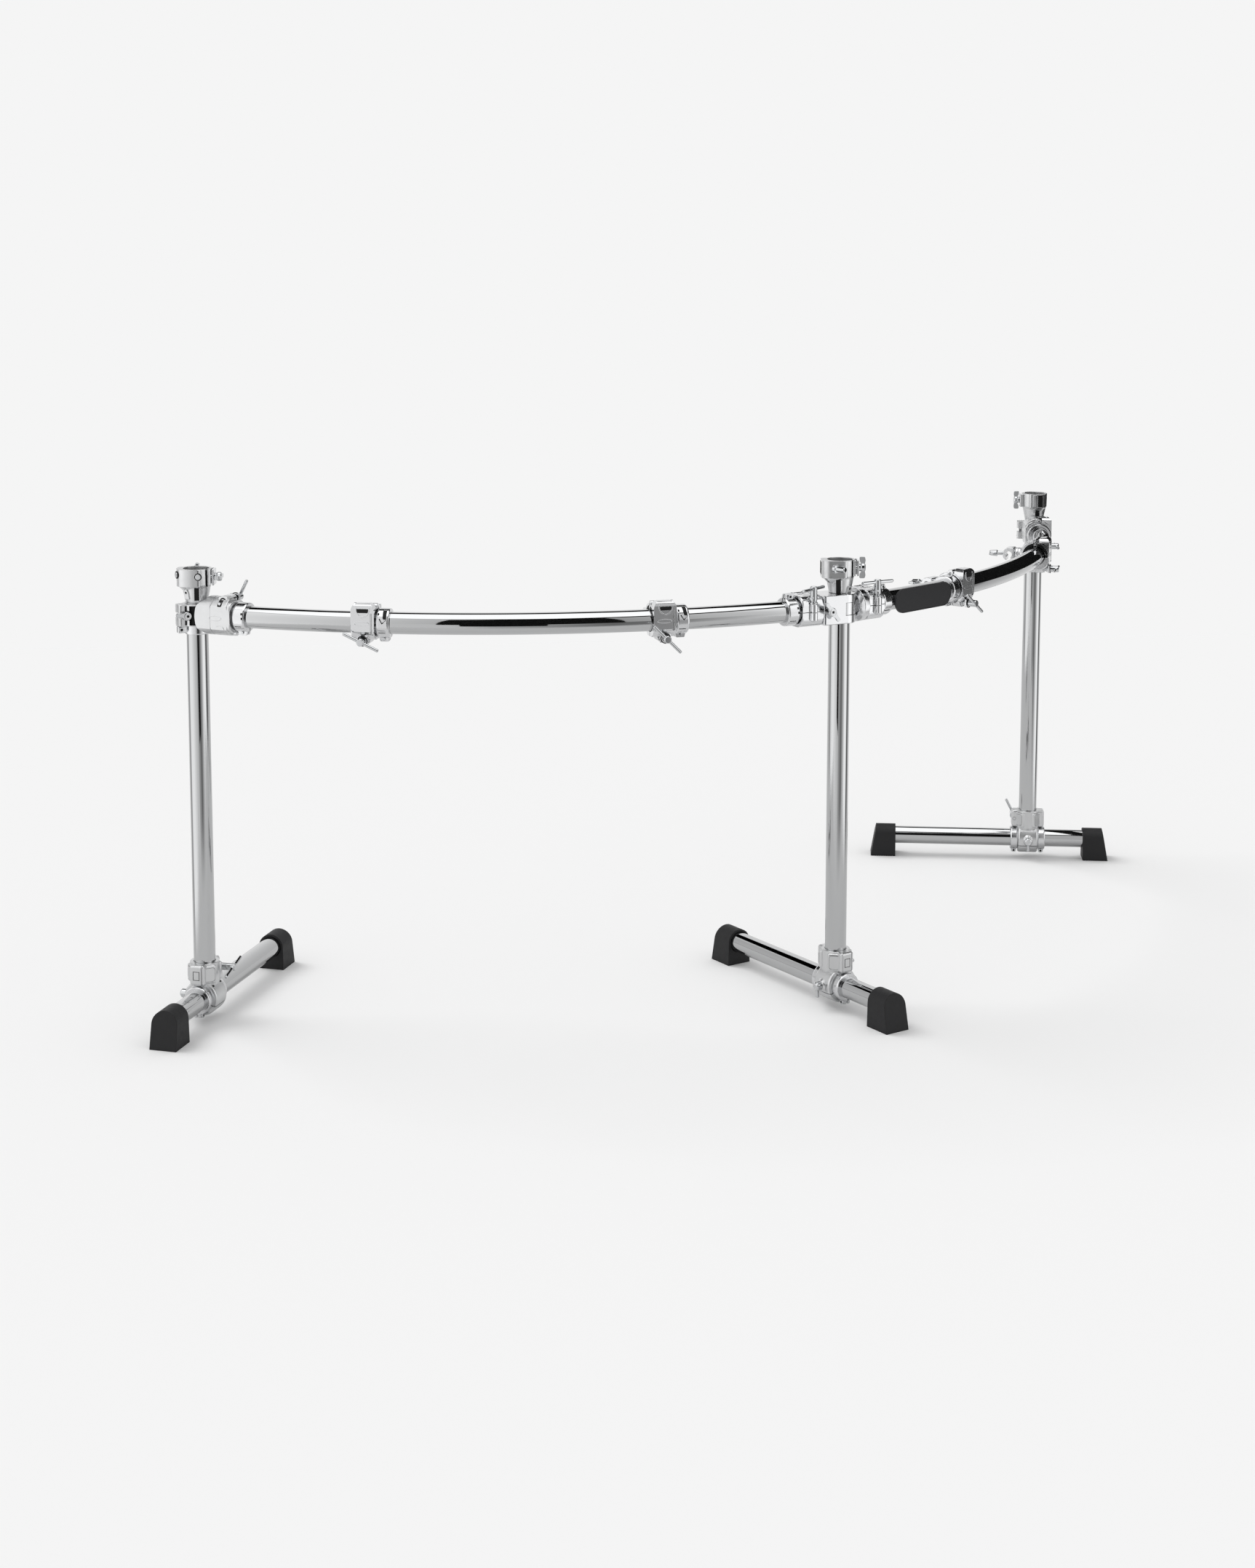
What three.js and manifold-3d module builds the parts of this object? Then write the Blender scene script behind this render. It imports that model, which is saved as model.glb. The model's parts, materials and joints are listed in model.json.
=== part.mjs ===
// Drum rack frame: two curved bars on three posts, each post on a T-leg with two feet.
// Units are millimetres, +Z is up, the floor is z = 0 and the audience is on the -Y side.
import * as THREE from 'three';
import { mergeVertices } from 'three/addons/utils/BufferGeometryUtils.js';
import Module from 'manifold-3d';

const wasm = await Module();
wasm.setup();

// Tubes and the two curved bars
const TUBE_RADIUS = 19.05;
const TUBE_WALL = 2;
const BAR_BEND_RADIUS = 1220;
const BAR_ARC = 1168;
const BAR_HEIGHT = 729;
const BAR_END = 34;
const WING_TURN = THREE.MathUtils.degToRad(59.34);

// Clearances
const BAR_GAP = 1.1;
const POST_GAP = 0.6;
const FACE_GAP = 0.3;
const BOLT_GAP = 0.4;
const OVERRUN = 2;
const WELD = 0.0001;

// Posts
const POST_OVER_BAR = 21;
const POST_TOP = BAR_HEIGHT + POST_OVER_BAR;
const POST_BOTTOM = 71;
const MIDDLE_POST_RISE = 5;
const POST_LENGTH = POST_TOP - POST_BOTTOM;

// Legs and feet
const LEG_HEIGHT = 43;
const LEG_LONG_REACH = 343;
const LEG_SHORT_REACH = 174;
const LEFT_LEG_TURN = THREE.MathUtils.degToRad(71);
const MIDDLE_LEG_TURN = THREE.MathUtils.degToRad(120.3);
const RIGHT_LEG_TURN = THREE.MathUtils.degToRad(171.2);
const FOOT_LENGTH = 54;
const FOOT_WIDTH = 50;
const FOOT_ARCH_RADIUS = 24;
const FOOT_TOE_SET_BACK = 12;
const FOOT_END_WALL = 7;

// Ring clamp that holds a bar: base half, hinged gate and T-bolt
const RING_OUTER = 27.5;
const RING_CORNER = 32;
const RING_SPLIT = 1;
const RING_WIDTH = 41;
const END_RING_WIDTH = 38;
const MIDDLE_RING_WIDTH = 44;
const HINGE_OFFSET = 28;
const KNUCKLE_RADIUS = 6;
const KNUCKLE_GAP = 0.6;
const KNUCKLE_WIDTH = 13;
const PIN_RADIUS = 2;
const PIN_GAP = 0.5;
const EAR_WIDTH = 24;
const EAR_DEPTH = 15;
const EAR_TOP = 18;
const EAR_DROP = 35.5;
const BOLT_OFFSET = 27.5;

// T-bolt
const SHAFT_RADIUS = 3.2;
const SHAFT_PLAY = 1.6;
const SHAFT_BITE = 8;
const WASHER_RADIUS = 7.5;
const WASHER_THICKNESS = 3;
const POCKET_GAP = 1;
const BARREL_RADIUS = 5.6;
const BARREL_END = 46;
const HANDLE_SET_BACK = 5;
const HANDLE_RADIUS = 2.9;
const HANDLE_LENGTH = 68;

// Accessory jaw on the rear of each multi-clamp
const BOSS_RADIUS = 13;
const BOSS_REACH = 36;
const JAW_DISC_THICKNESS = 7;
const JAW_WIDTH = 26;
const JAW_HEIGHT = 30;
const JAW_LENGTH = 22;
const ACCESSORY_RADIUS = 6.6;
const JAW_THROAT = 9;
const JAW_STUD_RADIUS = 4;
const JAW_STUD_LENGTH = 13;
const JAW_WING_SPAN = 34;
const JAW_WING_LENGTH = 16;
const JAW_WING_THICKNESS = 5;
const JAW_WING_HUB_RADIUS = 6.5;

// T-clamps at the bar ends
const POST_RING_OUTER = 26;
const POST_RING_HEIGHT = 38;
const MIDDLE_RING_HEIGHT = 52;
const END_RING_REACH = 61;
const PIVOT_RING_REACH = 66;
const MIDDLE_RING_REACH = 72;
const SHOULDER_START = 19;
const SHOULDER_SLOPE = 8;
const SHOULDER_RADIUS = 34;
const SHOULDER_HALF_WIDTH = 27;
const SHOULDER_BLOCK_START = 10;
const SHELL_SET_BACK = 6;
const PIVOT_SHOULDER_RADIUS = 30;
const POST_LOCK_RADIUS = 22.5;
const POST_LOCK_DROP = 15;
const POST_LOCK_LUG_REACH = 30;
const POST_LOCK_LUG_WIDTH = 12;
const LUG_LENGTH = 36;
const LUG_WIDTH = 24;
const LUG_SLIT = 2;
const LUG_NOTCH = 9;
const LUG_BOLT_OFFSET = 24;
const WINDOW_NEAR = 5;
const WINDOW_FAR = 20;
const WINDOW_RIM = 2;
const MIDDLE_RING_OUTER = 29;
const WEB_TO_WING = 11;
const SET_BOLT_SIDE = 42;
const SET_BOLT_DEPTH = 8;
const SET_BOLT_HUB_LENGTH = 16;
const WING_BOLT_HUB_RADIUS = 8;
const WING_BOLT_HUB_LENGTH = 9;
const WING_BOLT_REACH = 21;
const WING_BOLT_HEIGHT = 8;
const WING_BOLT_THICKNESS = 5;

// Wing pivot
const PIVOT_RING_HEIGHT = 22;
const PIVOT_RING_OUTER = 25.5;
const SLOT_GAP = 0.4;
const PIVOT_ARM_WIDTH = 24;
const PIVOT_FLANGE_RADIUS = 21;
const PIVOT_FLANGE_GAP = 1.5;

// Base clamp that carries the post on the leg tube
const BASE_BLOCK_BOTTOM = 70;
const BASE_BLOCK_HEIGHT = 37;
const BASE_BLOCK_OUTER = 26;
const BASE_LUG_LENGTH = 35;
const BASE_LUG_WIDTH = 28;
const BASE_BOLT_OFFSET = 29.5;
const LEG_RING_OUTER = 32;
const LEG_RING_WIDTH = 42;
const STEM_RADIUS = 20.5;
const LEG_BOSS_RADIUS = 8;
const LEG_BOSS_REACH = 35;
const LEG_WING_LENGTH = 21;
const LEG_WING_RADIUS = 3.2;
const LEG_WING_HUB_LENGTH = 11;

// Memory locks
const LOCK_OUTER = 25.5;
const LOCK_WIDTH = 22;
const LOCK_BOSS_HEIGHT = 12;
const LOCK_BOSS_WIDTH = 13;
const LOCK_INSET = 1;
const BASE_LOCK_WIDTH = 16;

// Sockets on the post tops
const SPIGOT_RADIUS = 16.6;
const SPIGOT_LENGTH = 28;
const CUP_HEIGHT = 29;
const CUP_TOP_RADIUS = 24.3;
const CUP_FLOOR = 4;
const CUP_INSIDE_RADIUS = 15.5;
const COLLAR_RADIUS = 27;
const COLLAR_HEIGHT = 30;
const COLLAR_BORE = 22.5;
const SOCKET_BOSS_REACH = 34;
const SOCKET_BOSS_WIDTH = 30;
const SOCKET_LUG_REACH = 33;
const SOCKET_SLOT_START = 27;
const SOCKET_SLOT_WIDTH = 2.5;
const SOCKET_LUG_WIDTH = 27;
const SOCKET_LUG_HEIGHT = 28;
const BUTTERFLY_STUD = 3.5;
const BUTTERFLY_SPAN = 38;
const BUTTERFLY_LENGTH = 8;
const BUTTERFLY_THICKNESS = 7;

// Badge plate, left bare
const BADGE_LENGTH = 158;
const BADGE_HEIGHT = 44;
const BADGE_THICKNESS = 4;
const BADGE_ARC = 187;
const BADGE_STAND_OFF = 5;
const BADGE_PAD_LENGTH = 60;
const BADGE_PAD_HEIGHT = 14;

// Where the multi-clamps sit along their bars, measured on the arc from the bar's left post
const MULTI_CLAMP_1_ARC = 316.5;
const MULTI_CLAMP_2_ARC = 823;
const MULTI_CLAMP_3_ARC = 326;
const MULTI_CLAMP_4_ARC = 790;
const LOCK_TO_CLAMP = 1.2;
const END_LOCK_TO_CLAMP = 2;

// How far each handle, wing and jaw is turned in the photograph
const deg = THREE.MathUtils.degToRad;
const LEFT_LUG_TURN = deg(51);
const RIGHT_LUG_TURN = deg(83);
const LEFT_HANDLE_TURN = deg(62);
const MIDDLE_HANDLE_TURN = deg(-25);
const PIVOT_HANDLE_TURN = deg(8);
const RIGHT_HANDLE_TURN = deg(0);
const LEFT_WING_TURN = deg(10);
const MIDDLE_WING_TURN = deg(50);
const RIGHT_WING_TURN = deg(60);
const LEFT_BASE_HANDLE_TURN = deg(-16);
const MIDDLE_BASE_HANDLE_TURN = deg(-24);
const RIGHT_BASE_HANDLE_TURN = deg(-63);
const CLAMP_1_HANDLE_TURN = deg(25);
const CLAMP_2_HANDLE_TURN = deg(45);
const CLAMP_3_HANDLE_TURN = deg(35);
const CLAMP_4_HANDLE_TURN = deg(0);
const CLAMP_1_JAW_TURN = deg(0);
const CLAMP_2_JAW_TURN = deg(90);
const CLAMP_3_JAW_TURN = deg(90);
const CLAMP_4_JAW_TURN = deg(90);
const LEFT_SOCKET_TURN = deg(-4);
const MIDDLE_SOCKET_TURN = deg(-4);
const RIGHT_SOCKET_TURN = deg(176);
const LEFT_BUTTERFLY_ROLL = deg(90);

// How finely round things are cut
const TUBE_SIDES = 16;
const BORE_SIDES = 18;
const BOLT_SIDES = 8;
const ROD_SIDES = 6;
const BAR_STEPS = 24;

// Solids from three.js geometry, joined and cut by manifold

function solid(geometry) {
  const bare = geometry.clone();
  bare.deleteAttribute('normal');
  bare.deleteAttribute('uv');
  const welded = mergeVertices(bare, WELD);
  return new wasm.Manifold(new wasm.Mesh({
    numProp: 3,
    vertProperties: new Float32Array(welded.attributes.position.array),
    triVerts: new Uint32Array(welded.index.array),
  }));
}

function cylinder(axis, radius, from, to, sides, across = [0, 0]) {
  const geometry = new THREE.CylinderGeometry(radius, radius, to - from, sides);
  const middle = (from + to) / 2;
  if (axis === 'x') {
    geometry.rotateZ(-Math.PI / 2);
    geometry.translate(middle, across[0], across[1]);
  } else if (axis === 'y') {
    geometry.translate(across[0], middle, across[1]);
  } else {
    geometry.rotateX(Math.PI / 2);
    geometry.translate(across[0], across[1], middle);
  }
  return solid(geometry);
}

function block(x, y, z) {
  const geometry = new THREE.BoxGeometry(x[1] - x[0], y[1] - y[0], z[1] - z[0]);
  geometry.translate((x[0] + x[1]) / 2, (y[0] + y[1]) / 2, (z[0] + z[1]) / 2);
  return solid(geometry);
}

function turned(profile, sides) {
  const points = profile.map(([radius, height]) => new THREE.Vector2(radius, height));
  const geometry = new THREE.LatheGeometry([...points, points[0]], sides);
  geometry.rotateX(Math.PI / 2);
  return solid(geometry);
}

function prism(shape, depth, curveSegments) {
  return solid(new THREE.ExtrudeGeometry(shape, { depth, bevelEnabled: false, curveSegments }));
}

function join(first, ...others) {
  return others.reduce((sum, other) => sum.add(other), first);
}

function cut(first, ...others) {
  return others.reduce((rest, other) => rest.subtract(other), first);
}

function degrees(radians) {
  return THREE.MathUtils.radToDeg(radians);
}

function pipe(axis, outer, inner, from, to, sides) {
  const shell = cylinder(axis, outer, from, to, sides);
  return cut(shell, cylinder(axis, inner, from - OVERRUN, to + OVERRUN, sides));
}

// Materials

function chrome() {
  return new THREE.MeshStandardMaterial({ color: 0xc6c9cc, roughness: 0.12, metalness: 1 });
}

function castChrome() {
  return new THREE.MeshStandardMaterial({ color: 0xbfc2c4, roughness: 0.2, metalness: 1 });
}

function rubber() {
  return new THREE.MeshStandardMaterial({ color: 0x1c1c1d, roughness: 0.8, metalness: 0 });
}

function badgeBlack() {
  return new THREE.MeshStandardMaterial({ color: 0x3a3a3c, roughness: 0.45, metalness: 0 });
}

function meshOf(name, body, material) {
  const source = body.getMesh();
  const geometry = new THREE.BufferGeometry();
  geometry.setAttribute('position', new THREE.BufferAttribute(source.vertProperties, 3));
  geometry.setIndex(new THREE.BufferAttribute(source.triVerts, 1));
  geometry.computeVertexNormals();
  const mesh = new THREE.Mesh(geometry, material);
  mesh.name = name;
  return mesh;
}

// The bars' arc: where a point at a given length along it lies, and which way it heads

const BAR_HALF_ANGLE = BAR_ARC / BAR_BEND_RADIUS / 2;

// An end clamp's bore points straight at its post, along the bar's tangent
// half-way down the length that it holds
const END_SEAT = (END_RING_REACH + END_RING_WIDTH / 2 + BAR_END) / 2;
const PIVOT_SEAT = (PIVOT_RING_REACH + END_RING_WIDTH / 2 + BAR_END) / 2;
const MIDDLE_SEAT = (MIDDLE_RING_REACH + MIDDLE_RING_WIDTH / 2 + BAR_END) / 2;

class BarPath {
  constructor(start, turn, startSeat, endSeat) {
    this.heading = turn;
    const local = this.local(startSeat);
    const reach = new THREE.Vector2(startSeat, 0).rotateAround(new THREE.Vector2(), local.heading);
    this.offset = start.clone().sub(local.point.clone().sub(reach));
    const far = this.at(BAR_ARC - endSeat);
    const back = new THREE.Vector2(endSeat, 0).rotateAround(new THREE.Vector2(), far.heading);
    this.startHeading = local.heading;
    this.endHeading = far.heading;
    this.end = far.point.clone().add(back);
  }

  local(arc) {
    const angle = arc / BAR_BEND_RADIUS - BAR_HALF_ANGLE;
    const start = -BAR_HALF_ANGLE;
    const x = BAR_BEND_RADIUS * (Math.sin(angle) - Math.sin(start));
    const y = BAR_BEND_RADIUS * (Math.cos(start) - Math.cos(angle));
    const point = new THREE.Vector2(x, y).rotateAround(new THREE.Vector2(), this.heading);
    return { point, heading: this.heading + angle };
  }

  at(arc) {
    const { point, heading } = this.local(arc);
    return { point: point.add(this.offset), heading };
  }
}

class BarCurve extends THREE.Curve {
  constructor(path, from, to) {
    super();
    this.path = path;
    this.from = from;
    this.to = to;
  }

  getPoint(share, target = new THREE.Vector3()) {
    const { point } = this.path.at(THREE.MathUtils.lerp(this.from, this.to, share));
    return target.set(point.x, point.y, 0);
  }
}

const leftPost = new THREE.Vector2(0, 0);
const frontPath = new BarPath(leftPost, 0, END_SEAT, MIDDLE_SEAT);
const middlePost = frontPath.end;
const wingPath = new BarPath(middlePost, WING_TURN, PIVOT_SEAT, END_SEAT);
const rightPost = wingPath.end;

// A lock ring clamped on a tube along X, with the boss that holds its bolt

function lockRing(width, bossTurn) {
  const half = width / 2;
  const inner = TUBE_RADIUS - LOCK_INSET;
  const boss = block(
    [-half, half],
    [-LOCK_BOSS_WIDTH / 2, LOCK_BOSS_WIDTH / 2],
    [TUBE_RADIUS, LOCK_OUTER + LOCK_BOSS_HEIGHT / 2],
  ).rotate([degrees(bossTurn), 0, 0]);
  return cut(
    join(cylinder('x', LOCK_OUTER, -half, half, TUBE_SIDES), boss),
    cylinder('x', inner, -half - OVERRUN, half + OVERRUN, TUBE_SIDES),
  );
}

function alongBar(path, radius, from, to, steps) {
  const section = new THREE.Shape();
  section.absarc(0, 0, radius, 0, 2 * Math.PI, false);
  return solid(new THREE.ExtrudeGeometry(section, {
    steps,
    curveSegments: TUBE_SIDES / 2,
    bevelEnabled: false,
    extrudePath: new BarCurve(path, from, to),
  }));
}

function curvedBar(path, locks) {
  const outside = alongBar(path, TUBE_RADIUS, BAR_END, BAR_ARC - BAR_END, BAR_STEPS);
  const boreRadius = TUBE_RADIUS - TUBE_WALL;
  const boreFrom = BAR_END - OVERRUN;
  const bore = alongBar(path, boreRadius, boreFrom, BAR_ARC - boreFrom, BAR_STEPS / 2);
  const tube = outside.subtract(bore);
  return locks.reduce((bar, lock) => {
    const { point, heading } = path.at(lock.arc);
    const ring = lockRing(LOCK_WIDTH, lock.turn)
      .rotate([0, 0, degrees(heading)])
      .translate([point.x, point.y, 0]);
    return bar.add(ring);
  }, tube);
}

// Ring clamp halves in their own frame: bar along X, gate on -Y, hinge above, T-bolt below

function ringHalf(width, side) {
  const half = width / 2;
  const far = RING_OUTER + EAR_DEPTH;
  const ring = block([-half, half], [-RING_OUTER, RING_OUTER], [-RING_OUTER, RING_OUTER])
    .intersect(cylinder('x', RING_CORNER, -half - OVERRUN, half + OVERRUN, BORE_SIDES));
  const ear = block([-EAR_WIDTH / 2, EAR_WIDTH / 2], [-EAR_DEPTH, EAR_DEPTH], [-EAR_DROP, -EAR_TOP]);
  const otherSide = side > 0 ? [-far, RING_SPLIT / 2] : [-RING_SPLIT / 2, far];
  const bore = cylinder('x', TUBE_RADIUS + BAR_GAP, -half - OVERRUN, half + OVERRUN, BORE_SIDES);
  const away = block([-half - OVERRUN, half + OVERRUN], otherSide, [-far - EAR_DROP, far]);
  return cut(join(ring, ear), bore, away);
}

function hingeBarrel(radius, from, to, sides) {
  return cylinder('x', radius, from, to, sides, [0, HINGE_OFFSET]);
}

function boltBore(radius, from, to) {
  return cylinder('y', radius, from, to, BOLT_SIDES, [0, -BOLT_OFFSET]);
}

function boltPocket() {
  return boltBore(WASHER_RADIUS + POCKET_GAP, -RING_OUTER - OVERRUN, -EAR_DEPTH);
}

function ringBase(width, shell = []) {
  const half = width / 2;
  const inner = KNUCKLE_WIDTH / 2;
  const clear = KNUCKLE_RADIUS + KNUCKLE_GAP;
  const knuckles = join(
    hingeBarrel(KNUCKLE_RADIUS, -half, -inner - KNUCKLE_GAP, TUBE_SIDES / 2),
    hingeBarrel(KNUCKLE_RADIUS, inner + KNUCKLE_GAP, half, TUBE_SIDES / 2),
  );
  const body = cut(
    join(ringHalf(width, 1), ...shell),
    hingeBarrel(clear, -inner - KNUCKLE_GAP, inner + KNUCKLE_GAP, TUBE_SIDES / 2),
    boltBore(SHAFT_RADIUS + SHAFT_PLAY, -OVERRUN, SHAFT_BITE + OVERRUN),
  );
  return join(body, knuckles, hingeBarrel(PIN_RADIUS, -half, half, ROD_SIDES));
}

function ringGate(width) {
  const half = width / 2 - FACE_GAP;
  const inner = KNUCKLE_WIDTH / 2;
  const clear = KNUCKLE_RADIUS + KNUCKLE_GAP;
  const shell = cut(
    ringHalf(2 * half, -1),
    hingeBarrel(clear, -half - OVERRUN, -inner, TUBE_SIDES / 2),
    hingeBarrel(clear, inner, half + OVERRUN, TUBE_SIDES / 2),
  );
  return cut(
    join(shell, hingeBarrel(KNUCKLE_RADIUS, -inner, inner, TUBE_SIDES / 2)),
    hingeBarrel(PIN_RADIUS + PIN_GAP, -half, half, ROD_SIDES),
    boltBore(SHAFT_RADIUS + BOLT_GAP, -EAR_DEPTH - OVERRUN, OVERRUN),
    boltPocket(),
  );
}

// A T-bolt along Y: its shaft ends at y = shaftEnd, its washer lies against y = seat

function tBolt(seat, shaftEnd, handleTurn) {
  const half = HANDLE_LENGTH / 2;
  const handle = cylinder('x', HANDLE_RADIUS, -half, half, ROD_SIDES)
    .rotate([0, degrees(handleTurn), 0])
    .translate([0, HANDLE_SET_BACK - BARREL_END, 0]);
  return join(
    cylinder('y', SHAFT_RADIUS, seat - OVERRUN, shaftEnd, BOLT_SIDES),
    cylinder('y', WASHER_RADIUS, seat - WASHER_THICKNESS, seat, BOLT_SIDES),
    cylinder('y', BARREL_RADIUS, -BARREL_END, seat - WASHER_THICKNESS, BOLT_SIDES),
    handle,
  );
}

function ringBolt(handleTurn) {
  return tBolt(-EAR_DEPTH - FACE_GAP, SHAFT_BITE, handleTurn).translate([0, 0, -BOLT_OFFSET]);
}

// Multi-clamp base with the round boss that carries the accessory jaw

function multiClampBase() {
  const boss = cut(
    cylinder('y', BOSS_RADIUS, 0, BOSS_REACH, TUBE_SIDES),
    cylinder('x', TUBE_RADIUS + BAR_GAP, -RING_OUTER, RING_OUTER, BORE_SIDES),
    block([-RING_OUTER, RING_OUTER], [-RING_OUTER, RING_SPLIT], [-RING_OUTER, RING_OUTER]),
  );
  return join(ringBase(RING_WIDTH), boss);
}

function accessoryJaw() {
  const discNear = BOSS_REACH + FACE_GAP;
  const jawNear = discNear + JAW_DISC_THICKNESS;
  const jawFar = jawNear + JAW_LENGTH;
  const studFar = jawFar + JAW_STUD_LENGTH;
  const wingFar = studFar + JAW_WING_LENGTH;
  const rodAt = (jawNear + jawFar) / 2;
  const rod = cylinder('z', ACCESSORY_RADIUS, -JAW_HEIGHT, JAW_HEIGHT, BOLT_SIDES, [0, rodAt]);
  const throat = block(
    [0, JAW_WIDTH],
    [rodAt - JAW_THROAT / 2, rodAt + JAW_THROAT / 2],
    [-JAW_HEIGHT, JAW_HEIGHT],
  );
  const halfWidth = JAW_WIDTH / 2;
  const halfHeight = JAW_HEIGHT / 2;
  return join(
    cylinder('y', BOSS_RADIUS, discNear, jawNear, TUBE_SIDES),
    cut(block([-halfWidth, halfWidth], [jawNear, jawFar], [-halfHeight, halfHeight]), rod, throat),
    cylinder('y', JAW_STUD_RADIUS, jawFar, studFar, BOLT_SIDES),
    cylinder('y', JAW_WING_HUB_RADIUS, studFar, wingFar, BOLT_SIDES),
    block(
      [-JAW_WING_THICKNESS / 2, JAW_WING_THICKNESS / 2],
      [studFar + FACE_GAP, wingFar],
      [-JAW_WING_SPAN / 2, JAW_WING_SPAN / 2],
    ),
  );
}

// Shoulder that swells from the post ring to the bar ring: round above and below, flat at the sides

function shoulder() {
  const end = END_RING_REACH - END_RING_WIDTH / 2;
  const tall = SHOULDER_START + SHOULDER_SLOPE;
  const profile = [
    [0, SHOULDER_START],
    [TUBE_RADIUS, SHOULDER_START],
    [SHOULDER_RADIUS, tall],
    [SHOULDER_RADIUS, end],
    [0, end],
  ];
  const side = SHOULDER_HALF_WIDTH;
  const half = POST_RING_HEIGHT / 2;
  const swell = turned(profile, BORE_SIDES)
    .rotate([0, 90, 0])
    .intersect(block([0, end], [-side, side], [-SHOULDER_RADIUS, SHOULDER_RADIUS]));
  return join(swell, block([SHOULDER_BLOCK_START, end], [-side, side], [-half, half]));
}

// The shoulder carried on over the base half of the bar ring, short of the ring's far edge

function shell(from, to) {
  const radius = SHOULDER_RADIUS;
  return block([from, to], [RING_SPLIT / 2, SHOULDER_HALF_WIDTH], [-radius, radius])
    .intersect(cylinder('x', radius, from - OVERRUN, to + OVERRUN, BORE_SIDES));
}

function postRing(outer, height) {
  return cylinder('z', outer, -height / 2, height / 2, TUBE_SIDES);
}

function postBore(from, to) {
  return cylinder('z', TUBE_RADIUS + POST_GAP, from, to, BORE_SIDES);
}

function barPocket(to) {
  return cylinder('x', TUBE_RADIUS + BAR_GAP, BAR_END - BAR_GAP, to, BORE_SIDES);
}

function seated(ring, roll, flipped, reach) {
  return ring
    .rotate([degrees(roll), 0, 0])
    .rotate([0, 0, flipped ? 180 : 0])
    .translate([reach, 0, 0]);
}

// Slit lug on a post ring, pointing along -X before it is turned

function slitLug(lugTurn) {
  const half = POST_RING_HEIGHT / 2;
  const bar = block([-LUG_LENGTH, -LUG_SLIT], [-LUG_WIDTH / 2, LUG_WIDTH / 2], [-half, half]);
  return bar.rotate([0, 0, degrees(lugTurn)]);
}

function slitCuts(lugTurn, lugRoll) {
  const half = POST_RING_HEIGHT / 2;
  const far = LUG_LENGTH + OVERRUN;
  const slit = block([-far, 0], [-LUG_SLIT / 2, LUG_SLIT / 2], [-half - OVERRUN, half + OVERRUN]);
  const notch = block(
    [-far, -POST_RING_OUTER],
    [-LUG_WIDTH, LUG_WIDTH],
    [-LUG_NOTCH / 2, LUG_NOTCH / 2],
  );
  const bolt = cylinder(
    'y', SHAFT_RADIUS + BOLT_GAP, -LUG_WIDTH, LUG_WIDTH, BOLT_SIDES, [-LUG_BOLT_OFFSET, 0],
  );
  const window = block(
    [-WINDOW_FAR, -WINDOW_NEAR],
    [-POST_RING_OUTER - OVERRUN, 0],
    [-half + WINDOW_RIM, half - WINDOW_RIM],
  );
  const spotFace = cylinder(
    'y', WING_BOLT_HUB_RADIUS + POCKET_GAP, -LUG_LENGTH, -LUG_WIDTH / 2, BOLT_SIDES, [-LUG_BOLT_OFFSET, 0],
  );
  return join(slit, notch, bolt, window, spotFace)
    .rotate([degrees(lugRoll), 0, 0])
    .rotate([0, 0, degrees(lugTurn)]);
}

// Memory lock on the post, right under the left clamp: a collar with a lug

function postLock(lugTurn) {
  const top = -POST_RING_HEIGHT / 2;
  const bottom = top - POST_LOCK_DROP;
  const side = POST_LOCK_LUG_WIDTH / 2;
  const lug = block([-POST_LOCK_LUG_REACH, 0], [-side, side], [bottom, top])
    .rotate([0, 0, degrees(lugTurn)]);
  return join(cylinder('z', POST_LOCK_RADIUS, bottom, top, TUBE_SIDES), lug);
}

// End T-clamp: post ring with its slit lug, shoulder and bar ring half

function endClampBody(roll, flipped, lugTurn, lugRoll, locks) {
  const reach = RING_OUTER + EAR_DROP;
  const half = END_RING_WIDTH / 2;
  const near = flipped ? SHELL_SET_BACK - half : -half;
  const ring = ringBase(END_RING_WIDTH, [shell(near, near + END_RING_WIDTH - SHELL_SET_BACK)]);
  const solidPart = join(
    postRing(POST_RING_OUTER, POST_RING_HEIGHT),
    slitLug(lugTurn),
    shoulder(),
    seated(ring, roll, flipped, END_RING_REACH),
    ...locks,
  );
  return cut(
    solidPart,
    postBore(-reach, reach),
    slitCuts(lugTurn, lugRoll),
    barPocket(END_RING_REACH + half),
  );
}

// Wing bolt along Y at the origin: hub on the -Y side of the seat, a flat wing towards -X
// that may reach past the hub on the +X side too

function wingBolt(seat, shaftEnd, hubLength, otherReach, wingTurn) {
  const hubFar = seat - hubLength;
  const wing = block(
    [-WING_BOLT_REACH, otherReach],
    [hubFar, hubFar + WING_BOLT_THICKNESS],
    [-WING_BOLT_HEIGHT / 2, WING_BOLT_HEIGHT / 2],
  ).rotate([0, degrees(wingTurn), 0]);
  return join(
    cylinder('y', SHAFT_RADIUS, hubFar, shaftEnd, BOLT_SIDES),
    cylinder('y', WING_BOLT_HUB_RADIUS, hubFar, seat, BOLT_SIDES),
    wing,
  );
}

// Middle T-clamp: two post rings with a slot between them for the wing's pivot ring

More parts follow.
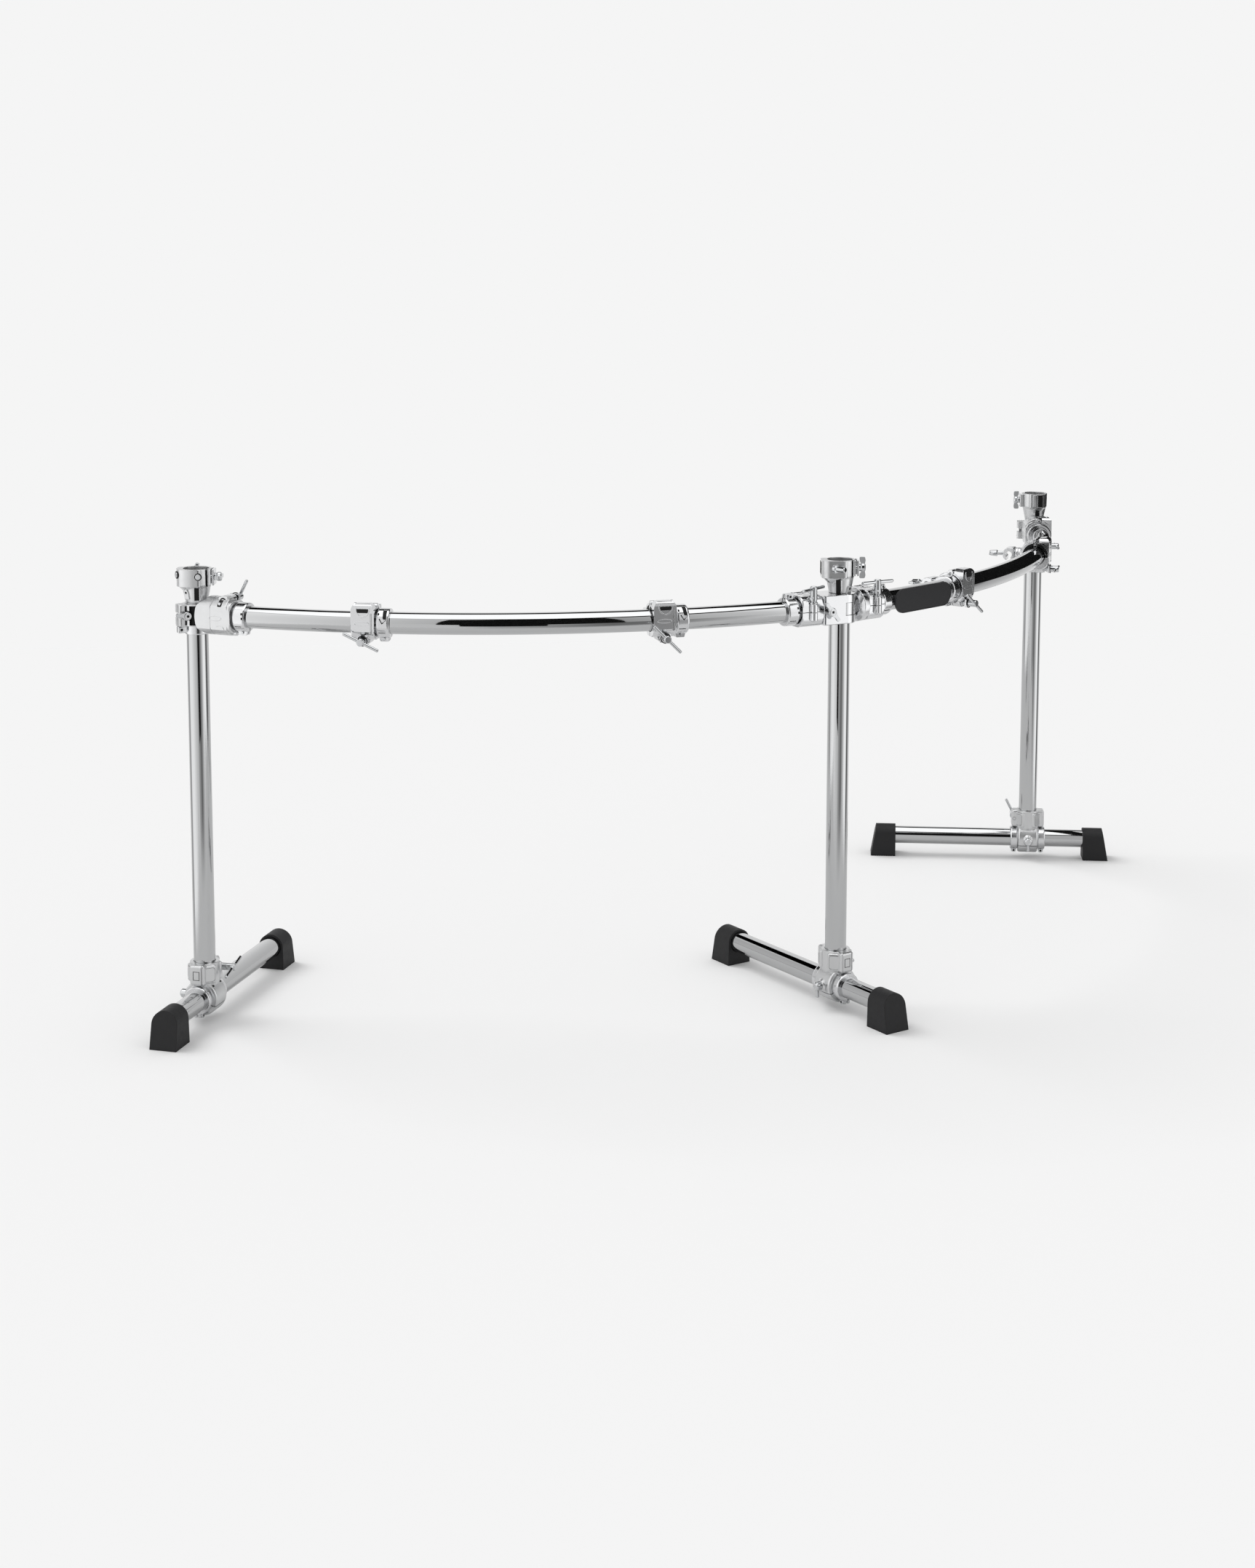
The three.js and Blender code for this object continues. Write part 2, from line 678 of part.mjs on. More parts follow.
function middleClampBody(roll, flipped) {
  const half = MIDDLE_RING_HEIGHT / 2;
  const reach = RING_OUTER + EAR_DROP;
  const side = MIDDLE_RING_OUTER;
  const ringStart = MIDDLE_RING_REACH - MIDDLE_RING_WIDTH / 2;
  const solidPart = join(
    postRing(side, MIDDLE_RING_HEIGHT),
    block([-WEB_TO_WING, ringStart], [-side, side], [-half, half]),
    seated(ringBase(MIDDLE_RING_WIDTH), roll, flipped, MIDDLE_RING_REACH),
  );
  const slotHalf = PIVOT_RING_HEIGHT / 2 + SLOT_GAP;
  const clear = PIVOT_RING_OUTER + SLOT_GAP;
  const slot = join(
    block([-side - OVERRUN, -WEB_TO_WING], [-side - OVERRUN, side + OVERRUN], [-slotHalf, slotHalf]),
    cylinder('z', clear, -slotHalf, slotHalf, BORE_SIDES),
  );
  const bolt = cylinder(
    'y', SHAFT_RADIUS + BOLT_GAP, TUBE_RADIUS, side + OVERRUN, BOLT_SIDES, [SET_BOLT_SIDE, 0],
  );
  const pocketEnd = MIDDLE_RING_REACH + MIDDLE_RING_WIDTH / 2;
  return cut(solidPart, postBore(-reach, reach), slot, bolt, barPocket(pocketEnd));
}

// Wing pivot clamp: the ring in the middle clamp's slot, an arm, and the wing bar's ring

function pivotClampBody(roll) {
  const half = PIVOT_RING_HEIGHT / 2;
  const ringStart = PIVOT_RING_REACH - END_RING_WIDTH / 2;
  const flangeStart = MIDDLE_RING_OUTER + PIVOT_FLANGE_GAP;
  const profile = [
    [0, flangeStart],
    [PIVOT_FLANGE_RADIUS, flangeStart],
    [PIVOT_SHOULDER_RADIUS, BAR_END + PIVOT_FLANGE_GAP],
    [PIVOT_SHOULDER_RADIUS, ringStart],
    [0, ringStart],
  ];
  const arm = block([0, ringStart], [-PIVOT_ARM_WIDTH / 2, PIVOT_ARM_WIDTH / 2], [-half, half]);
  const ring = join(ringBase(END_RING_WIDTH), fixedGate(END_RING_WIDTH));
  const solidPart = join(
    cylinder('z', PIVOT_RING_OUTER, -half, half, TUBE_SIDES),
    arm,
    turned(profile, BORE_SIDES).rotate([0, 90, 0]),
    seated(ring, roll, false, PIVOT_RING_REACH),
  );
  return cut(
    solidPart,
    postBore(-half - OVERRUN, half + OVERRUN),
    barPocket(PIVOT_RING_REACH + END_RING_WIDTH),
  );
}

// The wing ring's gate is one piece with its base: the same halves, closed at the hinge

function fixedGate(width) {
  const half = width / 2;
  const bridge = hingeBarrel(KNUCKLE_RADIUS, -half, half, TUBE_SIDES / 2);
  const bolt = boltBore(SHAFT_RADIUS + BOLT_GAP, -EAR_DEPTH - OVERRUN, OVERRUN);
  return cut(join(ringHalf(width, -1), bridge), bolt, boltPocket());
}

// Base clamp: post block above, stem, and the ring that grips the leg tube along X

function baseClampBody() {
  const bottom = BASE_BLOCK_BOTTOM;
  const top = bottom + BASE_BLOCK_HEIGHT;
  const halfRing = LEG_RING_WIDTH / 2;
  const far = BASE_LUG_LENGTH + OVERRUN;
  const boltAt = [BASE_BOLT_OFFSET, (bottom + top) / 2];
  const boss = cylinder('y', LEG_BOSS_RADIUS, 0, LEG_BOSS_REACH, BOLT_SIDES, [0, LEG_HEIGHT]);
  const solidPart = join(
    cylinder('z', BASE_BLOCK_OUTER, bottom, top, TUBE_SIDES),
    block([-BASE_LUG_LENGTH, BASE_LUG_LENGTH], [-BASE_LUG_WIDTH / 2, BASE_LUG_WIDTH / 2], [bottom, top]),
    cylinder('z', STEM_RADIUS, LEG_HEIGHT, bottom, TUBE_SIDES),
    cylinder('x', LEG_RING_OUTER, -halfRing, halfRing, TUBE_SIDES, [0, LEG_HEIGHT]),
    boss,
  );
  const legBore = cylinder(
    'x', TUBE_RADIUS + POST_GAP, -halfRing - OVERRUN, halfRing + OVERRUN, BORE_SIDES, [0, LEG_HEIGHT],
  );
  const slit = block([0, far], [-LUG_SLIT / 2, LUG_SLIT / 2], [bottom, top + OVERRUN]);
  const bolt = cylinder(
    'y', SHAFT_RADIUS + BOLT_GAP, -BASE_LUG_WIDTH, BASE_LUG_WIDTH, BOLT_SIDES, boltAt,
  );
  const setBolt = cylinder(
    'y', SHAFT_RADIUS + BOLT_GAP, 0, LEG_BOSS_REACH + OVERRUN, BOLT_SIDES, [0, LEG_HEIGHT],
  );
  return cut(solidPart, postBore(bottom, top + OVERRUN), legBore, slit, bolt, setBolt);
}

function legWingBolt() {
  const near = LEG_BOSS_REACH + FACE_GAP;
  const far = near + LEG_WING_HUB_LENGTH;
  return join(
    cylinder('y', SHAFT_RADIUS, TUBE_RADIUS + FACE_GAP, far, BOLT_SIDES),
    cylinder('y', WING_BOLT_HUB_RADIUS, near, far, BOLT_SIDES),
    cylinder('z', LEG_WING_RADIUS, -LEG_WING_LENGTH, 0, ROD_SIDES, [0, (near + far) / 2]),
  );
}

// Leg tube with the two locks that keep the base clamp in place

function legTube() {
  const from = -LEG_SHORT_REACH + FOOT_TOE_SET_BACK + FOOT_END_WALL;
  const to = LEG_LONG_REACH - FOOT_TOE_SET_BACK - FOOT_END_WALL;
  const side = (LEG_RING_WIDTH + BASE_LOCK_WIDTH) / 2 + FACE_GAP;
  const tube = pipe('x', TUBE_RADIUS, TUBE_RADIUS - TUBE_WALL, from, to, TUBE_SIDES);
  return join(
    tube,
    lockRing(BASE_LOCK_WIDTH, Math.PI).translate([-side, 0, 0]),
    lockRing(BASE_LOCK_WIDTH, Math.PI).translate([side, 0, 0]),
  ).translate([0, 0, LEG_HEIGHT]);
}

// Rubber foot: an arch over the tube's end, its toe face leaning in, pointing along +X

function foot() {
  const half = FOOT_WIDTH / 2;
  const arch = new THREE.Shape();
  arch.moveTo(-half, 0);
  arch.lineTo(half, 0);
  arch.lineTo(FOOT_ARCH_RADIUS, LEG_HEIGHT);
  arch.absarc(0, LEG_HEIGHT, FOOT_ARCH_RADIUS, 0, Math.PI, false);
  const body = prism(arch, FOOT_LENGTH, BOLT_SIDES).rotate([90, 0, 0]).rotate([0, 0, 90]);
  const toeTop = LEG_HEIGHT + FOOT_ARCH_RADIUS;
  const lean = Math.atan2(FOOT_TOE_SET_BACK, toeTop);
  const away = block([0, FOOT_LENGTH], [-FOOT_WIDTH, FOOT_WIDTH], [-FOOT_WIDTH, 2 * FOOT_WIDTH])
    .rotate([0, -degrees(lean), 0])
    .translate([FOOT_LENGTH, 0, 0]);
  const pocketEnd = FOOT_LENGTH - FOOT_TOE_SET_BACK - FOOT_END_WALL + FACE_GAP;
  const pocket = cylinder(
    'x', TUBE_RADIUS + POST_GAP, -OVERRUN, pocketEnd, BORE_SIDES, [0, LEG_HEIGHT],
  );
  return cut(body, away, pocket);
}

// Post tube, hollow, hung from its top end at z = 0

function postTube() {
  return pipe('z', TUBE_RADIUS, TUBE_RADIUS - TUBE_WALL, -POST_LENGTH, 0, TUBE_SIDES);
}

// Socket on a post top: spigot in the tube, tapered cup, and a collar with its clamp plate

function socketBody(bossed) {
  const collarBottom = CUP_HEIGHT + FACE_GAP;
  const collarTop = collarBottom + COLLAR_HEIGHT;
  const cupInner = CUP_INSIDE_RADIUS;
  const profile = [
    [0, -SPIGOT_LENGTH],
    [SPIGOT_RADIUS, -SPIGOT_LENGTH],
    [SPIGOT_RADIUS, FACE_GAP],
    [TUBE_RADIUS, FACE_GAP],
    [CUP_TOP_RADIUS, collarBottom],
    [COLLAR_RADIUS, collarBottom],
    [COLLAR_RADIUS, collarTop],
    [COLLAR_BORE, collarTop],
    [COLLAR_BORE, collarBottom],
    [cupInner, CUP_FLOOR],
    [0, CUP_FLOOR],
  ];
  const middle = collarBottom + COLLAR_HEIGHT / 2;
  const side = SOCKET_BOSS_WIDTH / 2;
  const boss = block([-SOCKET_BOSS_REACH, -COLLAR_BORE], [-side, side], [collarBottom, collarTop]);
  const lug = block(
    [COLLAR_BORE, SOCKET_LUG_REACH],
    [-SOCKET_LUG_WIDTH / 2, SOCKET_LUG_WIDTH / 2],
    [middle - SOCKET_LUG_HEIGHT / 2, middle + SOCKET_LUG_HEIGHT / 2],
  );
  const slot = block(
    [SOCKET_SLOT_START, SOCKET_SLOT_START + SOCKET_SLOT_WIDTH],
    [-SOCKET_LUG_WIDTH, SOCKET_LUG_WIDTH / 2 - SOCKET_SLOT_WIDTH],
    [middle - SOCKET_LUG_HEIGHT, middle + SOCKET_LUG_HEIGHT],
  );
  const hole = cylinder(
    'x', SHAFT_RADIUS + BOLT_GAP, 0, SOCKET_LUG_REACH + OVERRUN, BOLT_SIDES, [0, middle],
  );
  return cut(join(turned(profile, TUBE_SIDES), lug, ...(bossed ? [boss] : [])), slot, hole);
}

function socketBolt() {
  const near = SOCKET_LUG_REACH + FACE_GAP;
  const waist = near + BUTTERFLY_STUD;
  const far = waist + BUTTERFLY_LENGTH;
  const half = BUTTERFLY_THICKNESS / 2;
  const span = BUTTERFLY_SPAN / 2;
  return join(
    cylinder('x', SHAFT_RADIUS, COLLAR_BORE, waist, BOLT_SIDES),
    cylinder('x', WING_BOLT_HUB_RADIUS, near, far, BOLT_SIDES),
    block([waist, far], [-half, half], [-span, span]),
  );
}

// Badge plate: a bare stadium on two pads that follow the bar

function badgePlate() {
  const radius = BADGE_HEIGHT / 2;
  const half = BADGE_LENGTH / 2 - radius;
  const outline = new THREE.Shape();
  outline.moveTo(-half, -radius);
  outline.lineTo(half, -radius);
  outline.absarc(half, 0, radius, -Math.PI / 2, Math.PI / 2, false);
  outline.lineTo(-half, radius);
  outline.absarc(-half, 0, radius, Math.PI / 2, 1.5 * Math.PI, false);
  const back = TUBE_RADIUS + BADGE_STAND_OFF;
  const plate = prism(outline, BADGE_THICKNESS, BOLT_SIDES).rotate([90, 0, 0]).translate([0, -back, 0]);
  const pad = block(
    [-BADGE_PAD_LENGTH / 2, BADGE_PAD_LENGTH / 2],
    [-back - BADGE_THICKNESS / 2, 0],
    [-BADGE_PAD_HEIGHT / 2, BADGE_PAD_HEIGHT / 2],
  );
  const clearance = cylinder('x', TUBE_RADIUS + BAR_GAP, -BADGE_LENGTH, BADGE_LENGTH, BORE_SIDES);
  return cut(join(plate, pad), clearance);
}

// Assembly

const group = new THREE.Group();

function station(point, height, turn, parent = group) {
  const place = new THREE.Group();
  place.position.set(point.x, point.y, height);
  place.rotation.z = turn;
  parent.add(place);
  return place;
}

function rolled(parent, along, turn, roll) {
  const ring = new THREE.Group();
  ring.position.x = along;
  ring.rotation.z = turn;
  const tilt = new THREE.Group();
  tilt.rotation.x = roll;
  ring.add(tilt);
  parent.add(ring);
  return tilt;
}

function add(parent, name, body, material = castChrome()) {
  const mesh = meshOf(name, body, material);
  parent.add(mesh);
  return mesh;
}

const lockReach = (RING_WIDTH + LOCK_WIDTH) / 2 + LOCK_TO_CLAMP;
const endLock = END_RING_REACH + (END_RING_WIDTH + LOCK_WIDTH) / 2 + END_LOCK_TO_CLAMP;
const pivotLock = PIVOT_RING_REACH + (END_RING_WIDTH + LOCK_WIDTH) / 2 + END_LOCK_TO_CLAMP;
const middleLock = MIDDLE_RING_REACH + (MIDDLE_RING_WIDTH + LOCK_WIDTH) / 2 + END_LOCK_TO_CLAMP;
const UP = 0;
const DOWN = Math.PI;

const bars = station(new THREE.Vector2(), BAR_HEIGHT, 0);
add(bars, 'front_bar', curvedBar(frontPath, [
  { arc: endLock, turn: DOWN },
  { arc: MULTI_CLAMP_1_ARC + lockReach, turn: DOWN },
  { arc: MULTI_CLAMP_2_ARC + lockReach, turn: DOWN },
  { arc: BAR_ARC - middleLock, turn: UP },
]), chrome());
add(bars, 'wing_bar', curvedBar(wingPath, [
  { arc: pivotLock, turn: UP },
  { arc: MULTI_CLAMP_3_ARC - lockReach, turn: DOWN },
  { arc: MULTI_CLAMP_4_ARC + lockReach, turn: DOWN },
  { arc: BAR_ARC - endLock, turn: DOWN },
]), chrome());

const badgeSeat = wingPath.at(BADGE_ARC);
add(station(badgeSeat.point, BAR_HEIGHT, badgeSeat.heading), 'badge_plate', badgePlate(), badgeBlack());

function endClamp(side, point, turn, roll, flipped, lugTurn, lugRoll, handleTurn, wingTurn, locks) {
  const place = station(point, BAR_HEIGHT, turn);
  add(place, `${side}_top_clamp_body`, endClampBody(roll, flipped, lugTurn, lugRoll, locks));
  const ring = rolled(place, END_RING_REACH, flipped ? Math.PI : 0, roll);
  add(ring, `${side}_top_clamp_gate`, ringGate(END_RING_WIDTH));
  add(ring, `${side}_top_clamp_t_bolt`, ringBolt(handleTurn));
  const lug = new THREE.Group();
  lug.rotation.z = lugTurn;
  const bolt = add(
    lug,
    `${side}_top_clamp_wing_bolt`,
    wingBolt(-LUG_WIDTH / 2 - FACE_GAP, LUG_WIDTH / 2, WING_BOLT_HUB_LENGTH, 0, wingTurn),
  );
  bolt.position.x = -LUG_BOLT_OFFSET;
  bolt.rotation.x = lugRoll;
  place.add(lug);
}

endClamp(
  'left', leftPost, frontPath.startHeading, Math.PI, false,
  LEFT_LUG_TURN, 0, LEFT_HANDLE_TURN, LEFT_WING_TURN, [postLock(LEFT_LUG_TURN)],
);
endClamp(
  'right', rightPost, wingPath.endHeading + Math.PI, 0, true,
  RIGHT_LUG_TURN, Math.PI, RIGHT_HANDLE_TURN, RIGHT_WING_TURN, [],
);

const middle = station(middlePost, BAR_HEIGHT, frontPath.endHeading + Math.PI);
const middleRoll = -Math.PI / 2;
add(middle, 'middle_top_clamp_body', middleClampBody(middleRoll, true));
const middleRing = rolled(middle, MIDDLE_RING_REACH, Math.PI, middleRoll);
add(middleRing, 'middle_top_clamp_gate', ringGate(MIDDLE_RING_WIDTH));
add(middleRing, 'middle_top_clamp_t_bolt', ringBolt(MIDDLE_HANDLE_TURN));
const setSeat = -MIDDLE_RING_OUTER - FACE_GAP;
const setBolt = add(
  middle,
  'middle_top_clamp_wing_bolt',
  wingBolt(setSeat, setSeat + SET_BOLT_DEPTH, SET_BOLT_HUB_LENGTH, WING_BOLT_REACH, MIDDLE_WING_TURN),
);
setBolt.position.x = SET_BOLT_SIDE;
setBolt.rotation.z = Math.PI;

const pivot = station(middlePost, BAR_HEIGHT, wingPath.startHeading);
add(pivot, 'wing_pivot_clamp_body', pivotClampBody(middleRoll));
const pivotRing = rolled(pivot, PIVOT_RING_REACH, 0, middleRoll);
add(pivotRing, 'wing_pivot_clamp_t_bolt', ringBolt(PIVOT_HANDLE_TURN));

// Multi-clamps along the bars

const multiClamps = [
  ['front_multi_clamp_1', frontPath, MULTI_CLAMP_1_ARC, CLAMP_1_HANDLE_TURN, CLAMP_1_JAW_TURN],
  ['front_multi_clamp_2', frontPath, MULTI_CLAMP_2_ARC, CLAMP_2_HANDLE_TURN, CLAMP_2_JAW_TURN],
  ['wing_multi_clamp_3', wingPath, MULTI_CLAMP_3_ARC, CLAMP_3_HANDLE_TURN, CLAMP_3_JAW_TURN],
  ['wing_multi_clamp_4', wingPath, MULTI_CLAMP_4_ARC, CLAMP_4_HANDLE_TURN, CLAMP_4_JAW_TURN],
];
for (const [name, path, arc, handle, jaw] of multiClamps) {
  const { point, heading } = path.at(arc);
  const place = station(point, BAR_HEIGHT, heading);
  add(place, `${name}_base`, multiClampBase());
  add(place, `${name}_gate`, ringGate(RING_WIDTH));
  add(place, `${name}_t_bolt`, ringBolt(handle));
  add(place, `${name}_jaw`, accessoryJaw()).rotation.y = jaw;
}

// Posts, sockets, base clamps, legs and feet

const posts = [
  {
    side: 'left',
    point: leftPost,
    rise: 0,
    leg: LEFT_LEG_TURN,
    handle: LEFT_BASE_HANDLE_TURN,
    socket: LEFT_SOCKET_TURN,
    wing: LEFT_BUTTERFLY_ROLL,
    bossed: true,
  },
  {
    side: 'middle',
    point: middlePost,
    rise: MIDDLE_POST_RISE,
    leg: MIDDLE_LEG_TURN,
    handle: MIDDLE_BASE_HANDLE_TURN,
    socket: MIDDLE_SOCKET_TURN,
    wing: 0,
    bossed: true,
  },
  {
    side: 'right',
    point: rightPost,
    rise: 0,
    leg: RIGHT_LEG_TURN,
    handle: RIGHT_BASE_HANDLE_TURN,
    socket: RIGHT_SOCKET_TURN,
    wing: 0,
    bossed: false,
  },
];
for (const { side, point, rise, leg, handle, socket, wing, bossed } of posts) {
  const top = station(point, POST_TOP + rise, 0);
  add(top, `${side}_post`, postTube(), chrome());
  const cap = station(point, POST_TOP + rise, socket);
  add(cap, `${side}_socket_body`, socketBody(bossed));
  const bolt = add(cap, `${side}_socket_wing_bolt`, socketBolt());
  bolt.position.z = CUP_HEIGHT + FACE_GAP + COLLAR_HEIGHT / 2;
  bolt.rotation.x = wing;

  const base = station(point, 0, leg);
  add(base, `${side}_base_clamp_body`, baseClampBody());
  const blockMiddle = BASE_BLOCK_BOTTOM + BASE_BLOCK_HEIGHT / 2;
  const clampBolt = add(
    base,
    `${side}_base_clamp_t_bolt`,
    tBolt(-BASE_LUG_WIDTH / 2 - FACE_GAP, BASE_LUG_WIDTH / 2, handle),
  );
  clampBolt.position.set(BASE_BOLT_OFFSET, 0, blockMiddle);
  const legBolt = add(base, `${side}_base_clamp_wing_bolt`, legWingBolt());
  legBolt.position.z = LEG_HEIGHT;
  add(base, `${side}_leg_tube`, legTube(), chrome());
  const longFoot = add(base, `${side}_leg_long_foot`, foot(), rubber());
  longFoot.position.x = LEG_LONG_REACH - FOOT_LENGTH;
  const shortFoot = add(base, `${side}_leg_short_foot`, foot(), rubber());
  shortFoot.position.x = -LEG_SHORT_REACH + FOOT_LENGTH;
  shortFoot.rotation.z = Math.PI;
}

// The origin is under the middle of the whole frame, on the floor

group.updateMatrixWorld(true);
const bounds = new THREE.Box3().setFromObject(group);
const centre = bounds.getCenter(new THREE.Vector3());
group.position.set(-centre.x, -centre.y, -bounds.min.z);

export default group;
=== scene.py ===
"""Looks of the drum rack frame: chrome tubes, clamp castings and rubber feet, in a plain studio.

Lengths are millimetres in each piece's own frame, and become metres when a piece is placed.
"""

import json
import math

import bmesh
import bpy
from mathutils import Matrix, Vector


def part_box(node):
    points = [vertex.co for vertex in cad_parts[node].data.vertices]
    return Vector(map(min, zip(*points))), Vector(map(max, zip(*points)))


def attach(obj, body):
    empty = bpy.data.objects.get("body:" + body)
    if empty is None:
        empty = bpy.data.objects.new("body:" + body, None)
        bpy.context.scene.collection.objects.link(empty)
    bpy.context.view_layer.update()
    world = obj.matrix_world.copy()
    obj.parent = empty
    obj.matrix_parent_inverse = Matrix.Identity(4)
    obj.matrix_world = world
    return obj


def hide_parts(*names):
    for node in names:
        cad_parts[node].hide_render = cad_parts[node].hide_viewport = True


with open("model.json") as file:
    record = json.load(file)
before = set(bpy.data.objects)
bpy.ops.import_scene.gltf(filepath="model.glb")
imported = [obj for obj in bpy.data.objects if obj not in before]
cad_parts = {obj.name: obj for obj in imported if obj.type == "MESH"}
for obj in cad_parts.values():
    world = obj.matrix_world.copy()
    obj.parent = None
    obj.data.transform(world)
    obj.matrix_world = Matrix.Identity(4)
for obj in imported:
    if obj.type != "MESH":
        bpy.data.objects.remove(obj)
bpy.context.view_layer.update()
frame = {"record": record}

MM = 0.001
SHARP_ANGLE = math.radians(33)
SMALL_SIDES, BOLT_SIDES, SIDES, FINE_SIDES = 24, 32, 48, 64

# Sizes, as in the CAD
TUBE_RADIUS = 19.05
BAR_BEND_RADIUS = 1220
BAR_ARC = 1168
BAR_HEIGHT = 729
BAR_END = 34
WING_TURN = 59.34
BAR_GAP = 1.1
POST_GAP = 0.6
POST_TOP = 750
POST_LENGTH = 679
MIDDLE_POST_RISE = 5
LEG_HEIGHT = 43
LEG_LONG_REACH = 343
LEG_SHORT_REACH = 174
FOOT_LENGTH = 54
RING_HALF = 27.5
RING_ROUNDING = 19
RING_WIDTH = 41
END_RING_WIDTH = 38
MIDDLE_RING_WIDTH = 44
HINGE_OFFSET = 28
BOLT_OFFSET = 27.5
KNUCKLE_RADIUS = 6
KNUCKLE_WIDTH = 13
KNUCKLE_GAP = 0.6
EAR_DEPTH = 15
LOCK_WIDTH = 22
LOCK_OUTER = 25.5
BASE_LOCK_WIDTH = 16
POST_RING_HEIGHT = 38
POST_RING_OUTER = 26
MIDDLE_RING_OUTER = 29
MIDDLE_RING_HEIGHT = 52
PIVOT_RING_HEIGHT = 22
END_RING_REACH = 61
PIVOT_RING_REACH = 66
MIDDLE_RING_REACH = 72
LUG_BOLT_OFFSET = 24
SET_BOLT_SIDE = 42
BASE_BLOCK_BOTTOM = 70
BASE_BLOCK_HEIGHT = 37
BASE_BOLT_OFFSET = 29.5
COLLAR_BOTTOM = 29.3
COLLAR_HEIGHT = 30
COLLAR_TOP = COLLAR_BOTTOM + COLLAR_HEIGHT
COLLAR_MIDDLE = COLLAR_BOTTOM + COLLAR_HEIGHT / 2
BADGE_ARC = 187
CLAMP_ARCS = (316.5, 823, 326, 790)

# Smaller sizes that several pieces share, and a far end for cuts
FAR = 60
BOLT_HOLE = 3.6
SHANK = 3.2
BARREL_RADIUS = 6.5
BARREL_END = 46
HANDLE_LENGTH = 68
GATE_GAP = 0.3
GATE_FACE = -RING_HALF - 0.14
SHELL_RADIUS = 34
PIVOT_EYE_RADIUS = 28.4
CUP_RADIUS = 22
CUP_LEAN = 10
CUP_FACE = -19.9
CUP_DROP = 3.5
TUBE_WALL = 2
SADDLE_HALF = 21
FOOT_HALF = 24
SIDEWAYS = -90


# Meshes in millimetres


def spin(degrees, axis="Z"):
    return Matrix.Rotation(math.radians(degrees), 4, axis)


def shift(x=0, y=0, z=0):
    return Matrix.Translation((x, y, z))


def round_the_circle(sides):
    return [2 * math.pi * i / sides for i in range(sides)]


def softened(points, corner, steps=3, closed=True):
    """A line of points with each corner eased into a short curve."""
    count = len(points)
    line = []
    for index, point in enumerate(points):
        here = Vector(point)
        if not closed and index in (0, count - 1):
            line.append(here)
            continue
        into = Vector(points[index - 1]) - here
        away = Vector(points[(index + 1) % count]) - here
        start = here + into * min(corner / into.length, 0.45)
        end = here + away * min(corner / away.length, 0.45)
        for step in range(steps + 1):
            share = step / steps
            line.append(start.lerp(here, share).lerp(here.lerp(end, share), share))
    return line


def mirrored(half, upright=True):
    """A closed outline from its right half, or from its upper half."""
    other = [(-a, b) for a, b in half if a] if upright else [(a, -b) for a, b in half if b]
    return half + other[::-1]


def oblong(across, up):
    return [(across[0], up[0]), (across[1], up[0]), (across[1], up[1]), (across[0], up[1])]


def finished(work):
    bmesh.ops.recalc_face_normals(work, faces=work.faces)
    mesh = bpy.data.meshes.new("part")
    work.to_mesh(mesh)
    work.free()
    return mesh


TO_AXIS = {"x": spin(90, "Y"), "y": spin(-90, "X"), "z": Matrix.Identity(4)}


def lathe(profile, sides=SIDES, corner=0.6, axis="z", across=(0, 0)):
    """A solid turned about an axis from (radius, height) points; off the axis at both ends it is a ring."""
    ring = profile[0][0] > 0
    work = bmesh.new()
    rows = []
    for radius, height in softened(profile, corner, closed=ring):
        turns = round_the_circle(sides) if radius > 1e-6 else [0]
        rows.append([work.verts.new((radius * math.cos(a), radius * math.sin(a), height)) for a in turns])
    following = rows[1:] + (rows[:1] if ring else [])
    for low, high in zip(rows, following):
        for i in range(sides):
            j = (i + 1) % sides
            around = [low[i % len(low)], low[j % len(low)], high[j % len(high)], high[i % len(high)]]
            distinct = list(dict.fromkeys(around))
            if len(distinct) > 2:
                work.faces.new(distinct)
    mesh = finished(work)
    offsets = {"x": (0, *across), "y": (across[0], 0, across[1]), "z": (*across, 0)}
    mesh.transform(shift(*offsets[axis]) @ TO_AXIS[axis])
    return mesh


def rod(axis, radius, low, high, across=(0, 0), corner=0.6, sides=SIDES):
    return lathe([(0, low), (radius, low), (radius, high), (0, high)], sides, corner, axis, across)


def pipe(axis, outer, inner, low, high, across=(0, 0), corner=0.6):
    return lathe([(inner, low), (outer, low), (outer, high), (inner, high)], SIDES, corner, axis, across)


def drill(axis, radius, low, high, across=(0, 0)):
    """The space of a hole, with sharp ends."""
    return rod(axis, radius, low, high, across, 0, SMALL_SIDES)


def ease(work, edges, corner, steps):
    if corner:
        bmesh.ops.bevel(work, geom=edges, offset=corner, segments=steps, profile=0.5, affect="EDGES")


def slab(x, y, z, corner=0.8, steps=2):
    work = bmesh.new()
    bmesh.ops.create_cube(work, size=1)
    sides = [Vector(side) for side in (x, y, z)]
    scale = Matrix.Diagonal([side[1] - side[0] for side in sides] + [1])
    work.transform(shift(*[(side[0] + side[1]) / 2 for side in sides]) @ scale)
    ease(work, work.edges[:], corner, steps)
    return finished(work)


def prism(axis, outline, low, high, corner=0.6, steps=2):
    """An outline drawn across an axis and carried along it; its two rims are eased."""
    spots = {"x": lambda p, h: (h, *p), "y": lambda p, h: (p[0], h, p[1]), "z": lambda p, h: (*p, h)}
    work = bmesh.new()
    near, far = [[work.verts.new(spots[axis](p, h)) for p in outline] for h in (low, high)]
    rims = [edge for cap in (near, far) for edge in work.faces.new(cap).edges]
    for i in range(len(outline)):
        work.faces.new((near[i - 1], near[i], far[i], far[i - 1]))
    ease(work, rims, corner, steps)
    return finished(work)


def hexagon(radius):
    return [(radius * math.cos(a), radius * math.sin(a)) for a in round_the_circle(6)]


